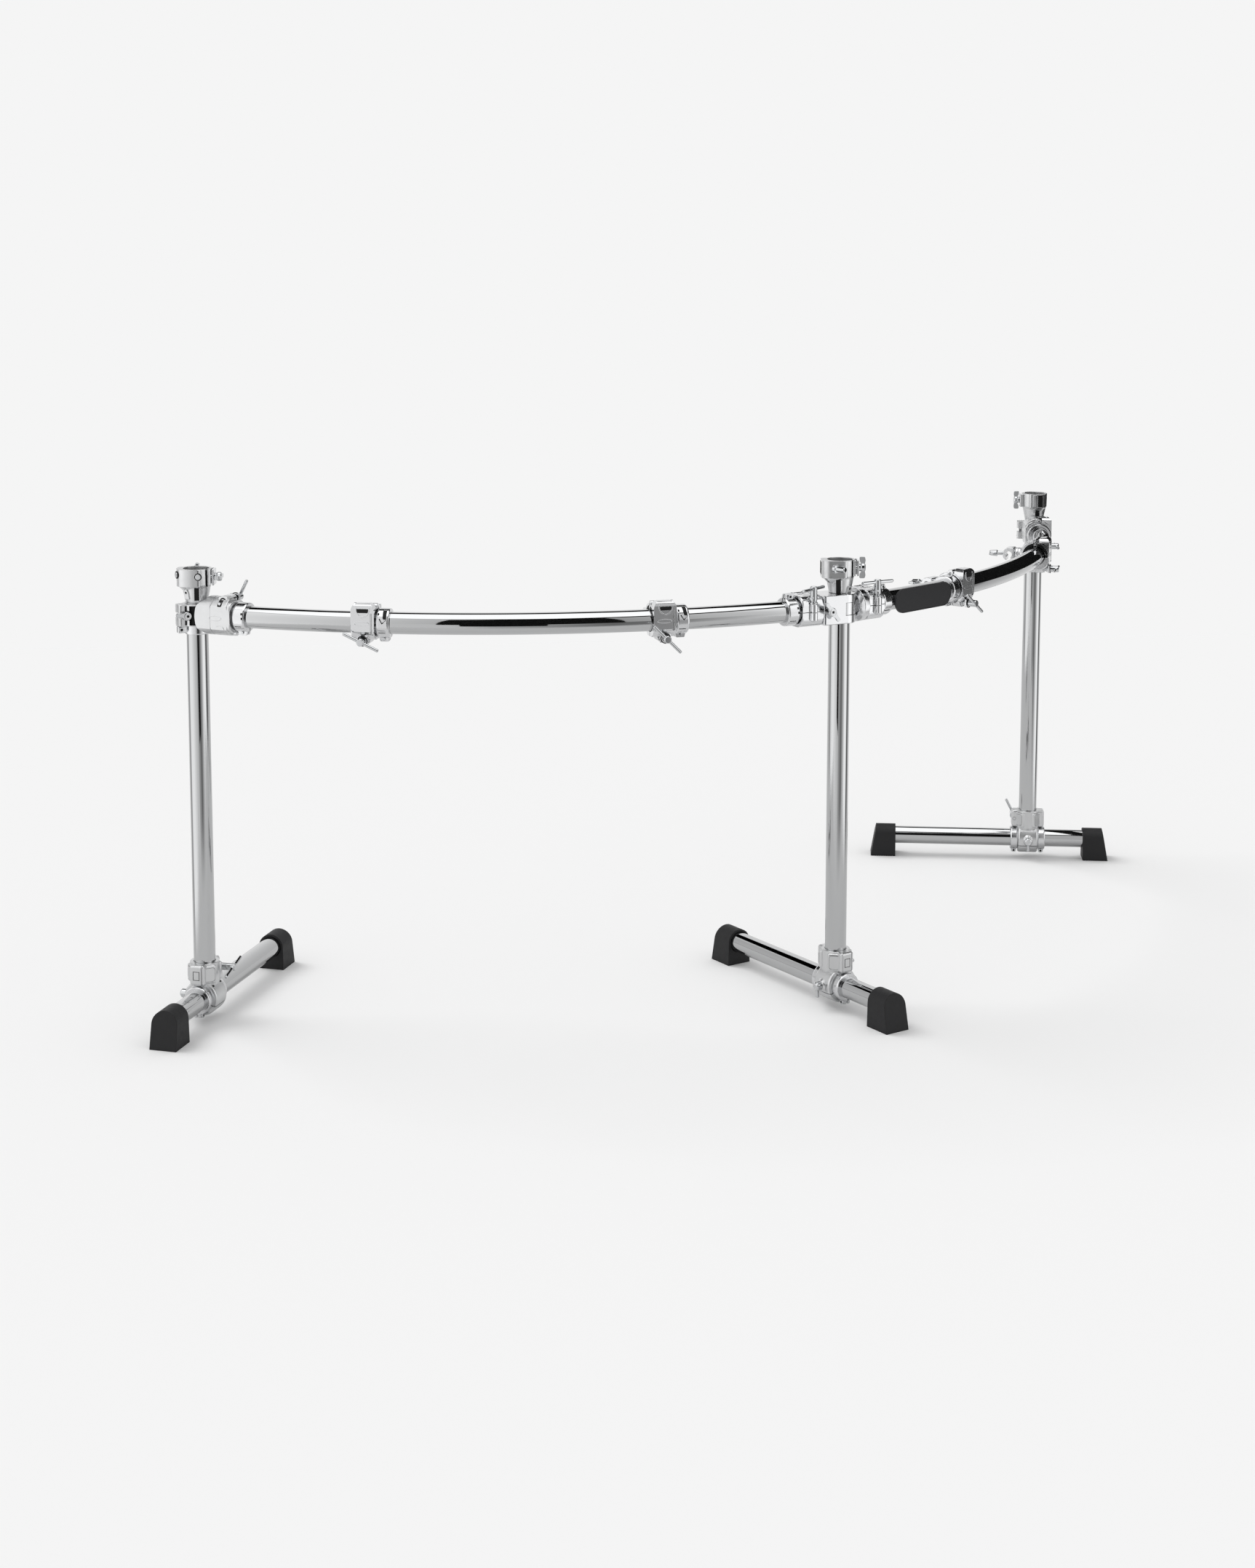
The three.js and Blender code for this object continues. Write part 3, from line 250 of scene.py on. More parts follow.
def boolean(mesh, operation, tools):
    """A new mesh; the given ones stay as they are."""
    body = bpy.data.objects.new("body", mesh)
    helpers = [bpy.data.objects.new("tool", tool) for tool in tools]
    for thing in [body, *helpers]:
        bpy.context.scene.collection.objects.link(thing)
    for helper in helpers:
        step = body.modifiers.new("step", "BOOLEAN")
        step.operation = operation
        step.solver = "MANIFOLD"
        step.object = helper
    depsgraph = bpy.context.evaluated_depsgraph_get()
    made = bpy.data.meshes.new_from_object(body.evaluated_get(depsgraph))
    for thing in [body, *helpers]:
        bpy.data.objects.remove(thing)
    return made


def join(mesh, *others):
    return boolean(mesh, "UNION", others)


def cut(mesh, *tools):
    return boolean(mesh, "DIFFERENCE", tools)


def clip(mesh, tool):
    return boolean(mesh, "INTERSECT", [tool])


def turned(mesh, axis, degrees):
    mesh.transform(spin(degrees, axis.upper()))
    return mesh


def moved(mesh, x=0, y=0, z=0):
    mesh.transform(shift(x, y, z))
    return mesh


def made_of(material, *meshes):
    return [(mesh, material) for mesh in meshes]


def all_moved(parts, matrix):
    """The same (mesh, material) parts, each carried by the matrix."""
    for mesh, _ in parts:
        mesh.transform(matrix)
    return parts


def bar_bore(low=-FAR, high=FAR):
    return rod("x", TUBE_RADIUS + BAR_GAP, low, high, corner=0)


def post_bore(low=-90, high=90):
    return rod("z", TUBE_RADIUS + POST_GAP, low, high, corner=0)


# Materials


def add_node(tree, kind, inputs=None, **settings):
    """A node whose sockets are fed with values or with other nodes' outputs."""
    made = tree.nodes.new(kind)
    for name, value in settings.items():
        setattr(made, name, value)
    for name, value in (inputs or {}).items():
        if isinstance(value, bpy.types.NodeSocket):
            tree.links.new(value, made.inputs[name])
        else:
            made.inputs[name].default_value = value
    return made


def math_node(tree, operation, *values):
    return add_node(tree, "ShaderNodeMath", dict(enumerate(values)), operation=operation).outputs["Value"]


def spread(tree, value, low, high):
    """A 0 to 1 value carried to another range."""
    inputs = {"Value": value, "To Min": low, "To Max": high}
    return add_node(tree, "ShaderNodeMapRange", inputs).outputs["Result"]


def smooth_step(tree, value, low, high):
    """A smooth rise from 0 to 1 between two values."""
    inputs = {"Value": value, "From Min": low, "From Max": high}
    return add_node(tree, "ShaderNodeMapRange", inputs, interpolation_type="SMOOTHSTEP").outputs["Result"]


def node_material(name, base, metallic, roughness):
    material = bpy.data.materials.new(name)
    material.use_nodes = True
    shader = material.node_tree.nodes["Principled BSDF"]
    shader.inputs["Base Color"].default_value = (*base, 1)
    shader.inputs["Metallic"].default_value = metallic
    shader.inputs["Roughness"].default_value = roughness
    return material, material.node_tree, shader


def noise(tree, scale, detail):
    where = add_node(tree, "ShaderNodeTexCoord").outputs["Object"]
    inputs = {"Vector": where, "Scale": scale, "Detail": detail}
    return add_node(tree, "ShaderNodeTexNoise", inputs).outputs["Fac"]


def relief(tree, shader, height, strength, distance, edge):
    """Bump from a height, over edges that are rounded by the shader."""
    inputs = {"Strength": strength, "Distance": distance, "Height": height}
    if edge:
        inputs["Normal"] = add_node(tree, "ShaderNodeBevel", {"Radius": edge}, samples=4).outputs["Normal"]
    bump = add_node(tree, "ShaderNodeBump", inputs)
    tree.links.new(bump.outputs["Normal"], shader.inputs["Normal"])


def metal(name, base, roughness, waviness, edge):
    material, tree, shader = node_material(name, base, 1, roughness)
    polish = spread(tree, noise(tree, 90, 3), roughness * 0.6, roughness * 1.5)
    tree.links.new(polish, shader.inputs["Roughness"])
    relief(tree, shader, noise(tree, 60, 2), waviness, 0.001, edge)
    return material


def rubber():
    material, tree, shader = node_material("rubber", (0.012, 0.012, 0.013), 0, 0.55)
    shader.inputs["Specular IOR Level"].default_value = 0.35
    tree.links.new(spread(tree, noise(tree, 120, 2), 0.48, 0.66), shader.inputs["Roughness"])
    relief(tree, shader, noise(tree, 1400, 3), 0.25, 0.0004, 0.0024)
    return material


def satin_black(name, base, roughness):
    material, tree, shader = node_material(name, base, 0, roughness)
    shader.inputs["Specular IOR Level"].default_value = 0.3
    relief(tree, shader, noise(tree, 900, 2), 0.06, 0.0003, 0.0005)
    return material


TUBE_CHROME = metal("tube_chrome", (0.56, 0.565, 0.57), 0.035, 0.004, None)
CAST_CHROME = metal("cast_chrome", (0.72, 0.725, 0.735), 0.15, 0.03, 0.0006)
SATIN_CHROME = metal("satin_chrome", (0.68, 0.685, 0.69), 0.32, 0.05, 0.0006)
BOLT_CHROME = metal("bolt_chrome", (0.62, 0.63, 0.64), 0.08, 0.015, 0.0004)
RUBBER = rubber()
BADGE_BLACK = satin_black("badge_black", (0.024, 0.024, 0.026), 0.46)
# Painted shade: a near-black sheet laid into holes, slots, seams and gaps where the casting is only shaded
PAINTED_SHADE_BLACK = satin_black("painted_shade_black", (0.006, 0.006, 0.006), 0.6)


# Placing

low_corner, high_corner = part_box("left_post")
left_post_spot = (low_corner + high_corner) / 2
BODY_OF = {
    node: body
    for body, nodes in frame["record"]["behaviour"]["bodies"].items()
    for node in nodes
}


def spot(x, y, z, turn):
    """A place in the working frame, whose origin is under the left post, as a metre matrix."""
    at = Vector((left_post_spot.x, left_post_spot.y, 0)) + Vector((x, y, z)) * MM
    return Matrix.Translation(at) @ Matrix.Rotation(turn, 4, "Z")


def dress(node, parts, place):
    """One detailed mesh from (mesh, material) parts, in place of a CAD node."""
    work = bmesh.new()
    materials = []
    for mesh, material in parts:
        if material not in materials:
            materials.append(material)
        start = len(work.faces)
        work.from_mesh(mesh)
        work.faces.ensure_lookup_table()
        for face in work.faces[start:]:
            face.material_index = materials.index(material)
    work.transform(place @ Matrix.Scale(MM, 4))
    mesh = bpy.data.meshes.new(node + "_dressed")
    work.to_mesh(mesh)
    work.free()
    for material in materials:
        mesh.materials.append(material)
    mesh.shade_smooth()
    mesh.set_sharp_from_angle(angle=SHARP_ANGLE)
    piece = bpy.data.objects.new(node + "_dressed", mesh)
    bpy.context.scene.collection.objects.link(piece)
    normals = piece.modifiers.new("normals", "WEIGHTED_NORMAL")
    normals.keep_sharp = True
    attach(piece, BODY_OF[node])
    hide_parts(node)


# The bars' arcs

HALF_ANGLE = BAR_ARC / BAR_BEND_RADIUS / 2


def rotated(x, y, angle):
    return Vector((x * math.cos(angle) - y * math.sin(angle), x * math.sin(angle) + y * math.cos(angle)))


class BarPath:
    """The centre line of a bar, and the post's spot at its far end."""

    def __init__(self, start, turn, start_seat, end_seat):
        self.turn = turn
        self.offset = Vector((0, 0))
        near, self.start_heading = self.at(start_seat)
        self.offset = start - (near - rotated(start_seat, 0, self.start_heading))
        far, self.end_heading = self.at(BAR_ARC - end_seat)
        self.end = far + rotated(end_seat, 0, self.end_heading)

    def at(self, arc):
        angle = arc / BAR_BEND_RADIUS - HALF_ANGLE
        x = BAR_BEND_RADIUS * (math.sin(angle) + math.sin(HALF_ANGLE))
        y = BAR_BEND_RADIUS * (math.cos(HALF_ANGLE) - math.cos(angle))
        return rotated(x, y, self.turn) + self.offset, self.turn + angle


def seat(reach, width):
    return (reach + width / 2 + BAR_END) / 2


END_SEAT = seat(END_RING_REACH, END_RING_WIDTH)
MIDDLE_SEAT = seat(MIDDLE_RING_REACH, MIDDLE_RING_WIDTH)
PIVOT_SEAT = seat(PIVOT_RING_REACH, END_RING_WIDTH)
LEFT = Vector((0, 0))
FRONT = BarPath(LEFT, 0, END_SEAT, MIDDLE_SEAT)
MIDDLE = FRONT.end
WING = BarPath(MIDDLE, math.radians(WING_TURN), PIVOT_SEAT, END_SEAT)
RIGHT = WING.end


# Bolts and screws


def hex_screw(radius, height):
    """A cap screw head standing on z = 0, with its hexagon socket painted black as shade."""
    head = rod("z", radius, 0, height, corner=0.7, sides=SMALL_SIDES)
    socket = prism("z", hexagon(radius * 0.58), height - 0.1, height + 0.12, 0)
    return [(head, BOLT_CHROME), (socket, PAINTED_SHADE_BLACK)]


def facing(parts, x, y, z, turn=0):
    """Screw parts turned from +Z to face -Y, then about Z, and set at a point."""
    return all_moved(parts, shift(x, y, z) @ spin(turn) @ spin(90, "X"))


def t_bolt(seat_y, shaft_end, turn):
    """A screw along Y whose barrel carries a sliding cross rod."""
    top = seat_y - 3
    neck = BARREL_RADIUS - 1.2
    profile = [
        (0, -BARREL_END), (BARREL_RADIUS - 1, -BARREL_END), (BARREL_RADIUS, 1.4 - BARREL_END),
        (BARREL_RADIUS, top - 2), (neck, top - 1.4), (neck, top), (7.8, top + 0.6), (7.8, seat_y),
        (SHANK, seat_y), (SHANK, shaft_end), (0, shaft_end),
    ]
    body = lathe(profile, BOLT_SIDES, 0.5, "y")
    half = HANDLE_LENGTH / 2
    rod_profile = [(0, -half), (2, -half), (2.9, 1.6 - half), (2.9, half - 1.6), (2, half), (0, half)]
    cross = lathe(rod_profile, SMALL_SIDES, 0.8, "x")
    return made_of(BOLT_CHROME, body, moved(turned(cross, "y", turn), y=5 - BARREL_END))


def wing_outline(two_blades):
    """A flat wing drawn in X and Z: a hub with one or two rounded blades."""
    reach, height = 21, 5.6
    blade = [(reach, height * 0.7), (reach * 0.55, height * 0.42)]
    upper = [*(blade if two_blades else [(7, 0)]), (5, height), (-5, height)]
    upper += [(-x, z) for x, z in blade[::-1]]
    return softened(mirrored(upper, upright=False), 3, 4)


def wing_bolt(seat_y, shaft_end, hub_length, two_blades, turn):
    far = seat_y - hub_length
    profile = [(0, far), (6.4, far), (8, far + 2.5), (8, seat_y)]
    profile += [(SHANK, seat_y), (SHANK, shaft_end), (0, shaft_end)]
    hub = lathe(profile, BOLT_SIDES, 0.5, "y")
    wing = turned(prism("y", wing_outline(two_blades), far + 0.3, far + 4.6, 1.2), "y", turn)
    ring = pipe("y", 5, 3.6, far - 0.35, far + 1, corner=0.2)
    # The hexagon socket is painted black, as shade
    socket = prism("y", hexagon(2.6), far - 0.1, far + 1, 0)
    return [*made_of(BOLT_CHROME, hub, wing), (ring, CAST_CHROME), (socket, PAINTED_SHADE_BLACK)]


# Ring clamps: bar along X, gate on -Y, hinge above, T-bolt below

RING_OUTLINE = softened(oblong((RING_HALF, -RING_HALF), (RING_HALF, -RING_HALF)), RING_ROUNDING, 8)
AT_BOLT = (0, -BOLT_OFFSET)
AT_HINGE = (0, HINGE_OFFSET)


def ring_half(width, side, ear):
    """Half a ring with half of the ear that the T-bolt goes through."""
    half = width / 2
    ring = prism("x", RING_OUTLINE, -half, half, 2.6, 3)
    outline = softened(oblong((-ear / 2, ear / 2), (-36, -12)), 8, 6)
    lobe = prism("y", outline, -EAR_DEPTH, EAR_DEPTH, 1.6, 3)
    away = slab((-40, 40), (-FAR, 0.5) if side > 0 else (-0.5, FAR), (-FAR, FAR), 0)
    return cut(join(ring, lobe), bar_bore(), away)


def hinge(radius, low, high):
    return rod("x", radius, low, high, AT_HINGE, 0.7, SMALL_SIDES)


def ring_base(width, shells=(), material=CAST_CHROME, slim=False):
    half = width / 2
    gap = KNUCKLE_WIDTH / 2 + KNUCKLE_GAP
    clear = rod("x", KNUCKLE_RADIUS + KNUCKLE_GAP, -gap, gap, AT_HINGE, 0)
    body = ring_half(width, 1, 13 if slim else 21)
    if shells:
        body = join(body, *shells)
    body = cut(body, clear, drill("y", 4.8, -2, 10, AT_BOLT))
    parts = [(body, material), *(slim_ear() if slim else [])]
    parts += made_of(CAST_CHROME, hinge(KNUCKLE_RADIUS, -half, -gap), hinge(KNUCKLE_RADIUS, gap, half))
    end = half + 0.45
    parts += made_of(
        BOLT_CHROME, hinge(2.2, -half - 0.4, half + 0.4),
        rod("y", 3.8, EAR_DEPTH - 0.5, EAR_DEPTH + 1.6, AT_BOLT, 0.9, BOLT_SIDES),
    )
    # Painted shade: black dots at the hinge pin's ends, and a black disc round the bolt at the ear
    return parts + made_of(
        PAINTED_SHADE_BLACK, *[rod("x", 1.1, x - 0.1, x + 0.1, AT_HINGE, 0, 12) for x in (-end, end)],
        rod("y", 6.2, EAR_DEPTH - 0.6, EAR_DEPTH + 0.12, AT_BOLT, 0.2, BOLT_SIDES),
    )


def ring_mouth(half, side):
    """Painted shade: a thin black flare at both ends of half a ring."""
    keep = slab((-FAR, FAR), sorted((3 * side, FAR * side)), (-3, FAR), 0)
    starts = (-half - 0.12, half - 0.3)
    flares = [pipe("x", 25.6, TUBE_RADIUS + BAR_GAP, x, x + 0.42, corner=0) for x in starts]
    return made_of(PAINTED_SHADE_BLACK, *[clip(flare, keep) for flare in flares])


def slim_ear():
    """A round ear that carries on the T-bolt's line behind the gate, with a black slot of painted shade under
    it.
    """
    ear = cut(rod("y", 7, 0.8, EAR_DEPTH, AT_BOLT, 0.9, BOLT_SIDES), drill("y", BOLT_HOLE, -FAR, 10, AT_BOLT))
    slot = slab((-2, 2), (2.2, EAR_DEPTH - 1.4), (-BOLT_OFFSET - 7.2, -BOLT_OFFSET - 5), 0.3)
    return [(ear, CAST_CHROME), (slot, PAINTED_SHADE_BLACK)]


def ring_gate(width, slim=False):
    half = width / 2 - GATE_GAP
    inner = KNUCKLE_WIDTH / 2
    clear = KNUCKLE_RADIUS + KNUCKLE_GAP
    shell = cut(
        ring_half(2 * half, -1, 13 if slim else 21),
        rod("x", clear, -FAR, -inner, AT_HINGE, 0),
        rod("x", clear, inner, FAR, AT_HINGE, 0),
        drill("y", 8.5, -FAR, -EAR_DEPTH, AT_BOLT),
        drill("y", BOLT_HOLE, -FAR, 2, AT_BOLT),
    )
    pin_hole = drill("x", 2.5, -FAR, FAR, AT_HINGE)
    knuckle = cut(hinge(KNUCKLE_RADIUS, -inner, inner), pin_hole)
    wide = 7 if slim else 9.5
    cheek = slab((-wide, wide), (-RING_HALF - 1.2, -RING_HALF + 3), (-35, -19.5), 1.2)
    cheek = cut(cheek, drill("y", 8.6, -FAR, FAR, AT_BOLT))
    if slim:
        collar = [(pipe("y", 6.9, 3.7, -14.9, -0.8, AT_BOLT, 0.8), CAST_CHROME)]
    else:
        # Painted shade: a thin black ring round the mouth of the bolt's pocket
        painted_ring_shade = cut(rod("y", 9.2, -28.95, -28, AT_BOLT, 0.2), rod("y", 7.4, -40, 0, AT_BOLT, 0))
        collar = [(painted_ring_shade, PAINTED_SHADE_BLACK)]
    return [*made_of(CAST_CHROME, shell, gate_cover(half), knuckle, cheek), *gate_marks(half), *collar]


def gate_marks(half):
    """On the gate's face: two black ribs of painted shade, the bare oval place, and a lip round a black band
    of painted shade.
    """
    face = GATE_FACE
    ribs = [slab((x, x + 0.55), (face - 0.12, face + 1), (-15, 20), 0.1) for x in (half - 6.4, half - 4.6)]
    place = oval_ring("y", 13, 3.6, face - 0.3, face + 0.6, (-1.5, 2))
    lip, inside = [
        softened(mirrored([(0, low), (side, low + rise), (wide, 24), (wide, top)]), 3, 4)
        for low, side, rise, wide, top in ((11.5, 8.5, 4, 12.5, 30.5), (13.4, 7.3, 3.4, 10.7, 33))
    ]
    lip = cut(prism("y", lip, face - 0.75, face + 1, 0.35), prism("y", inside, face - 4, face + 4, 0))
    band = prism("y", softened(oblong((-10.3, 10.3), (20.5, 27.5)), 1.5), face - 0.14, face + 1, 0)
    middle = 0.5
    return [
        *made_of(PAINTED_SHADE_BLACK, *ribs, moved(band, x=middle)),
        *made_of(CAST_CHROME, place, moved(lip, x=middle)),
    ]


def gate_cover(half):
    """The boxy cap of a gate, which rounds over in front of the hinge."""
    profile = [
        (GATE_FACE, -14), (GATE_FACE, 29), (-26, 33.4), (-22, 35.9), (-14, 36.6), (-7.5, 36.2), (-7.5, 14),
        (-16, -14),
    ]
    side = half + 0.12
    body = prism("x", softened(profile, 2.5, 4), -side, side, 1)
    front = softened(oblong((-side, side), (-14, 36.8)), 15, 8)
    body = clip(body, prism("y", front, -40, 0, 0))
    return cut(body, bar_bore(), rod("x", KNUCKLE_RADIUS + 1, -FAR, FAR, AT_HINGE, 0))


def oval_ring(axis, wide, tall, low, high, centre=(0, 0)):
    """A thin raised rim round a bare oval place."""
    outer, inner = [
        [(centre[0] + a * math.cos(t), centre[1] + b * math.sin(t)) for t in round_the_circle(40)]
        for a, b in ((wide, tall), (wide - 0.7, tall - 0.7))
    ]
    return cut(prism(axis, outer, low, high, 0.2), prism(axis, inner, low - 1, high + 1, 0))


def ring_bolt(turn):
    return all_moved(t_bolt(-EAR_DEPTH - 0.3, 8, turn), shift(z=-BOLT_OFFSET))


def lock_ring(width, turn, open_eye=False):
    """A split collar on a tube along X, with a hex bolt through its lugs; some have an open eye in front,
    painted as black shade.
    """
    half = width / 2
    inner, rim, flat = 18.9, 24.4, half - 2.4
    profile = [
        (inner, -half), (rim, -half), (LOCK_OUTER, -flat), (LOCK_OUTER, flat), (rim, half), (inner, half),
    ]
    ring = cut(lathe(profile, SIDES, 0.9, "x"), slab((-FAR, FAR), (-1.2, 1.2), (0, FAR), 0))
    outline = softened(mirrored([(half - 1, 21), (half - 3.5, 31.4)]), 1.6)
    lugs = [prism("y", outline, near, near + 5.3, 0.8) for near in (-6.5, 1.2)]
    parts = made_of(CAST_CHROME, ring, *lugs)
    parts += facing(hex_screw(4.3, 3.2), 0, -6.4, 27)
    parts += [(rod("y", 2.3, -6, 8.6, (0, 27), 0.5, SMALL_SIDES), BOLT_CHROME)]
    parts = all_moved(parts, spin(turn, "X"))
    # Painted shade: black marks on the collar; for an open eye, a wedge, a notch and a dot cut from a thin
    # black band
    marks = [slab((4 - half, half - 6), (-22.1, -18), (z, z + 0.9), 0.2) for z in (-14.5, -11.5)]
    if open_eye:
        wedge = softened([(0, 23), (6.5, 23), (7, 9), (5, 5.5), (1, 11)], 1.5)
        notch = [(-5.5, 10), (-4.2, 10.6), (0, 3.6), (3, 6), (3.6, 5), (0, 1.4)]
        band = pipe("x", LOCK_OUTER + 0.12, LOCK_OUTER - 1, -flat, flat, corner=0)
        marks += [clip(band, prism("y", shape, -40, 0, 0)) for shape in (wedge, notch)]
        marks.append(clip(band, rod("y", 1.8, -40, 0, (-7.4, 17.5), 0, 16)))
    else:
        for angle, low in ((20, half - 5.4), (2, half - 4.4)):
            mark = slab((low, low + 3.4), (-LOCK_OUTER - 0.08, -LOCK_OUTER + 2), (-1.9, 1.9), 0.2)
            marks.append(turned(mark, "x", -angle))
    return parts + made_of(PAINTED_SHADE_BLACK, *marks)


# Bars, posts and legs

UP, DOWN = 0, 180
AT_LEG = (0, LEG_HEIGHT)
LOCK_REACH = (RING_WIDTH + LOCK_WIDTH) / 2 + 1.2


def half_circle(radius, centre, start):
    """Points of half a circle, from a bearing in degrees."""
    turns = [math.radians(start + 180 * step / 24) for step in range(25)]
    return [(centre[0] + radius * math.cos(a), centre[1] + radius * math.sin(a)) for a in turns]


def bar_tube(path):
    """The bent tube, swept in the working frame at z = 0."""
    work = bmesh.new()
    steps = 150
    low, high = BAR_END, BAR_ARC - BAR_END
    rings = []
    for step in range(steps + 1):
        point, heading = path.at(low + (high - low) * step / steps)
        side = rotated(0, TUBE_RADIUS, heading)
        rings.append([
            work.verts.new((*(point + side * math.cos(a)), TUBE_RADIUS * math.sin(a)))
            for a in round_the_circle(FINE_SIDES)
        ])
    for near, far in zip(rings, rings[1:]):
        for i in range(FINE_SIDES):
            work.faces.new((near[i - 1], near[i], far[i], far[i - 1]))
    work.faces.new(rings[0])
    work.faces.new(rings[-1])
    return finished(work)


def dress_bar(node, path, locks):
    parts = [(bar_tube(path), TUBE_CHROME)]
    for arc, turn, *open_eye in locks:
        point, heading = path.at(arc)
        place = shift(*point) @ Matrix.Rotation(heading, 4, "Z")
        parts += all_moved(lock_ring(LOCK_WIDTH, turn, *open_eye), place)
    dress(node, parts, spot(0, 0, BAR_HEIGHT, 0))


def end_lock(reach, width):
    return reach + (width + LOCK_WIDTH) / 2 + 2


dress_bar("front_bar", FRONT, [
    (end_lock(END_RING_REACH, END_RING_WIDTH), DOWN),
    (CLAMP_ARCS[0] + LOCK_REACH, DOWN, True),
    (CLAMP_ARCS[1] + LOCK_REACH, DOWN, True),
    (BAR_ARC - end_lock(MIDDLE_RING_REACH, MIDDLE_RING_WIDTH), UP),
])
dress_bar("wing_bar", WING, [
    (end_lock(PIVOT_RING_REACH, END_RING_WIDTH), UP),
    (CLAMP_ARCS[2] - LOCK_REACH, DOWN),
    (CLAMP_ARCS[3] + LOCK_REACH, DOWN),
    (BAR_ARC - end_lock(END_RING_REACH, END_RING_WIDTH), DOWN),
])


def tube(axis, low, high):
    return pipe(axis, TUBE_RADIUS, TUBE_RADIUS - TUBE_WALL, low, high, corner=0.4)


def foot():
    """A rubber boot over the tube end: an arch with a leaning toe, serrated underneath."""
    arch = [(-25, 0), (25, 0), *half_circle(FOOT_HALF, AT_LEG, 0)]
    toe = slab((0, 40), (-FAR, FAR), (-20, 120), 0)
    toe.transform(shift(FOOT_LENGTH) @ Matrix.Rotation(-math.atan2(12, LEG_HEIGHT + FOOT_HALF), 4, "Y"))
    pocket = rod("x", TUBE_RADIUS + POST_GAP, -10, 30, AT_LEG, 0)
    grooves = [slab((x, x + 1.6), (-FAR, FAR), (-5, 1.6), 0) for x in range(6, 52, 5)]
    return cut(prism("x", arch, -0.01, 66, 0), toe, pocket, *grooves)


def leg_parts(flip):
    side = SADDLE_HALF + BASE_LOCK_WIDTH / 2 + 0.3
    parts = [(tube("x", 19 - LEG_SHORT_REACH, LEG_LONG_REACH - 19), TUBE_CHROME)]
    for x in (-side, side):
        parts += all_moved(lock_ring(BASE_LOCK_WIDTH, DOWN), shift(x) @ spin(180 if flip else 0))
    return all_moved(parts, shift(z=LEG_HEIGHT))


def base_clamp():
    """Post block over a saddle ring on the leg tube."""
    bottom, top = BASE_BLOCK_BOTTOM, BASE_BLOCK_BOTTOM + BASE_BLOCK_HEIGHT
    block = lathe([(0, bottom - 8), (24, bottom - 6), (26, bottom), (26, top), (0, top)], SIDES, 1.6)
    lugs = slab((-35, 35), (-14, 14), (bottom, top), 4.5, 4)
    stem = rod("z", 20.5, LEG_HEIGHT, bottom + 4, corner=0)
    end = SADDLE_HALF
    saddle = [(0, -end), (30.5, -end), (32, 3 - end), (32, end - 3), (30.5, end), (0, end)]
    saddle = lathe(saddle, SIDES, 1, "x", AT_LEG)
    boss = lathe([(0, 0), (21, 0), (19, 24), (10, 32.5), (8.4, 35), (0, 35)], SIDES, 3, "y", AT_LEG)
    body = cut(
        join(block, lugs, stem, saddle, boss),
        post_bore(bottom, top + 30),
        rod("x", TUBE_RADIUS + POST_GAP, -FAR, FAR, AT_LEG, 0),
        slab((0, FAR), (-1, 1), (bottom, top + 10), 0),
        slab((-FAR, -25), (-9.4, -8.6), (bottom - 1, top + 10), 0),
        drill("y", BOLT_HOLE, -FAR, FAR, (BASE_BOLT_OFFSET, (bottom + top) / 2)),
        slab((-FAR, FAR), (-FAR, FAR), (LEG_HEIGHT - 12.6, LEG_HEIGHT - 11.4), 0),
    )
    # Painted shade: a thin black outline on the block's end face
    painted_frame_shade = cut(
        slab((-35.12, -34), (-5.4, 6.8), (bottom + 10, bottom + 26), 0),
        slab((-FAR, 0), (-4.4, 5.8), (bottom + 11, bottom + 25), 0),
    )
    panels = [panel for turn in (-138, 138, 42, -42) for panel in base_panel(bottom, top, turn)]
    return [(body, SATIN_CHROME), *panels, (painted_frame_shade, PAINTED_SHADE_BLACK), *saddle_teeth()]


def base_panel(bottom, top, turn):
    """A pad on the block's corner, with a plate inside a black outline of painted shade."""
    middle = bottom + 17.5
    square = softened(oblong((-10, 10), (bottom + 5, top - 7)), 5, 5)
    plate = [(y * 0.955, (z - middle) * 0.955 + middle) for y, z in square]
    pad = slab((18, 28), (-13, 13), (bottom + 1, top - 3.5), 3.5, 4)
    layers = [(pad, SATIN_CHROME), (prism("x", square, 27.9, 28.15, 0), PAINTED_SHADE_BLACK)]
    layers.append((prism("x", plate, 27, 28.6, 0.5), SATIN_CHROME))
    hollow = post_bore(bottom - 5, top + 30)
    return [(cut(turned(mesh, "z", turn), hollow), material) for mesh, material in layers]


def saddle_teeth():
    """Painted shade: black toothed slots beside the saddle's crown, over the leg tube."""
    slots = []
    for side in (-1, 1):
        for i, angle in enumerate((44, 32, 20)):
            slot = slab(sorted((side * (11.5 + i), side * (17.5 - i))), (-1.9, 1.9), (31.6, 32.25), 0.3)
            slots.append(moved(turned(slot, "x", angle), z=LEG_HEIGHT))
    return made_of(PAINTED_SHADE_BLACK, *slots)


def leg_wing_bolt():
    hub = lathe([(0, 35.3), (8, 35.3), (8, 44.3), (6, 46.3), (0, 46.3)], BOLT_SIDES, 0.6, "y")
    shaft = rod("y", SHANK, 19.35, 36, sides=SMALL_SIDES)
    blade = lathe([(0, -21), (2.4, -21), (3.4, -19.5), (2.8, -6), (3, 0), (0, 0)], SMALL_SIDES, 0.8)
    ring = pipe("y", 5.2, 3.9, 45.9, 46.8, corner=0.2)
    return [*made_of(BOLT_CHROME, hub, shaft, moved(blade, y=40.8)), (ring, CAST_CHROME)]


# Sockets


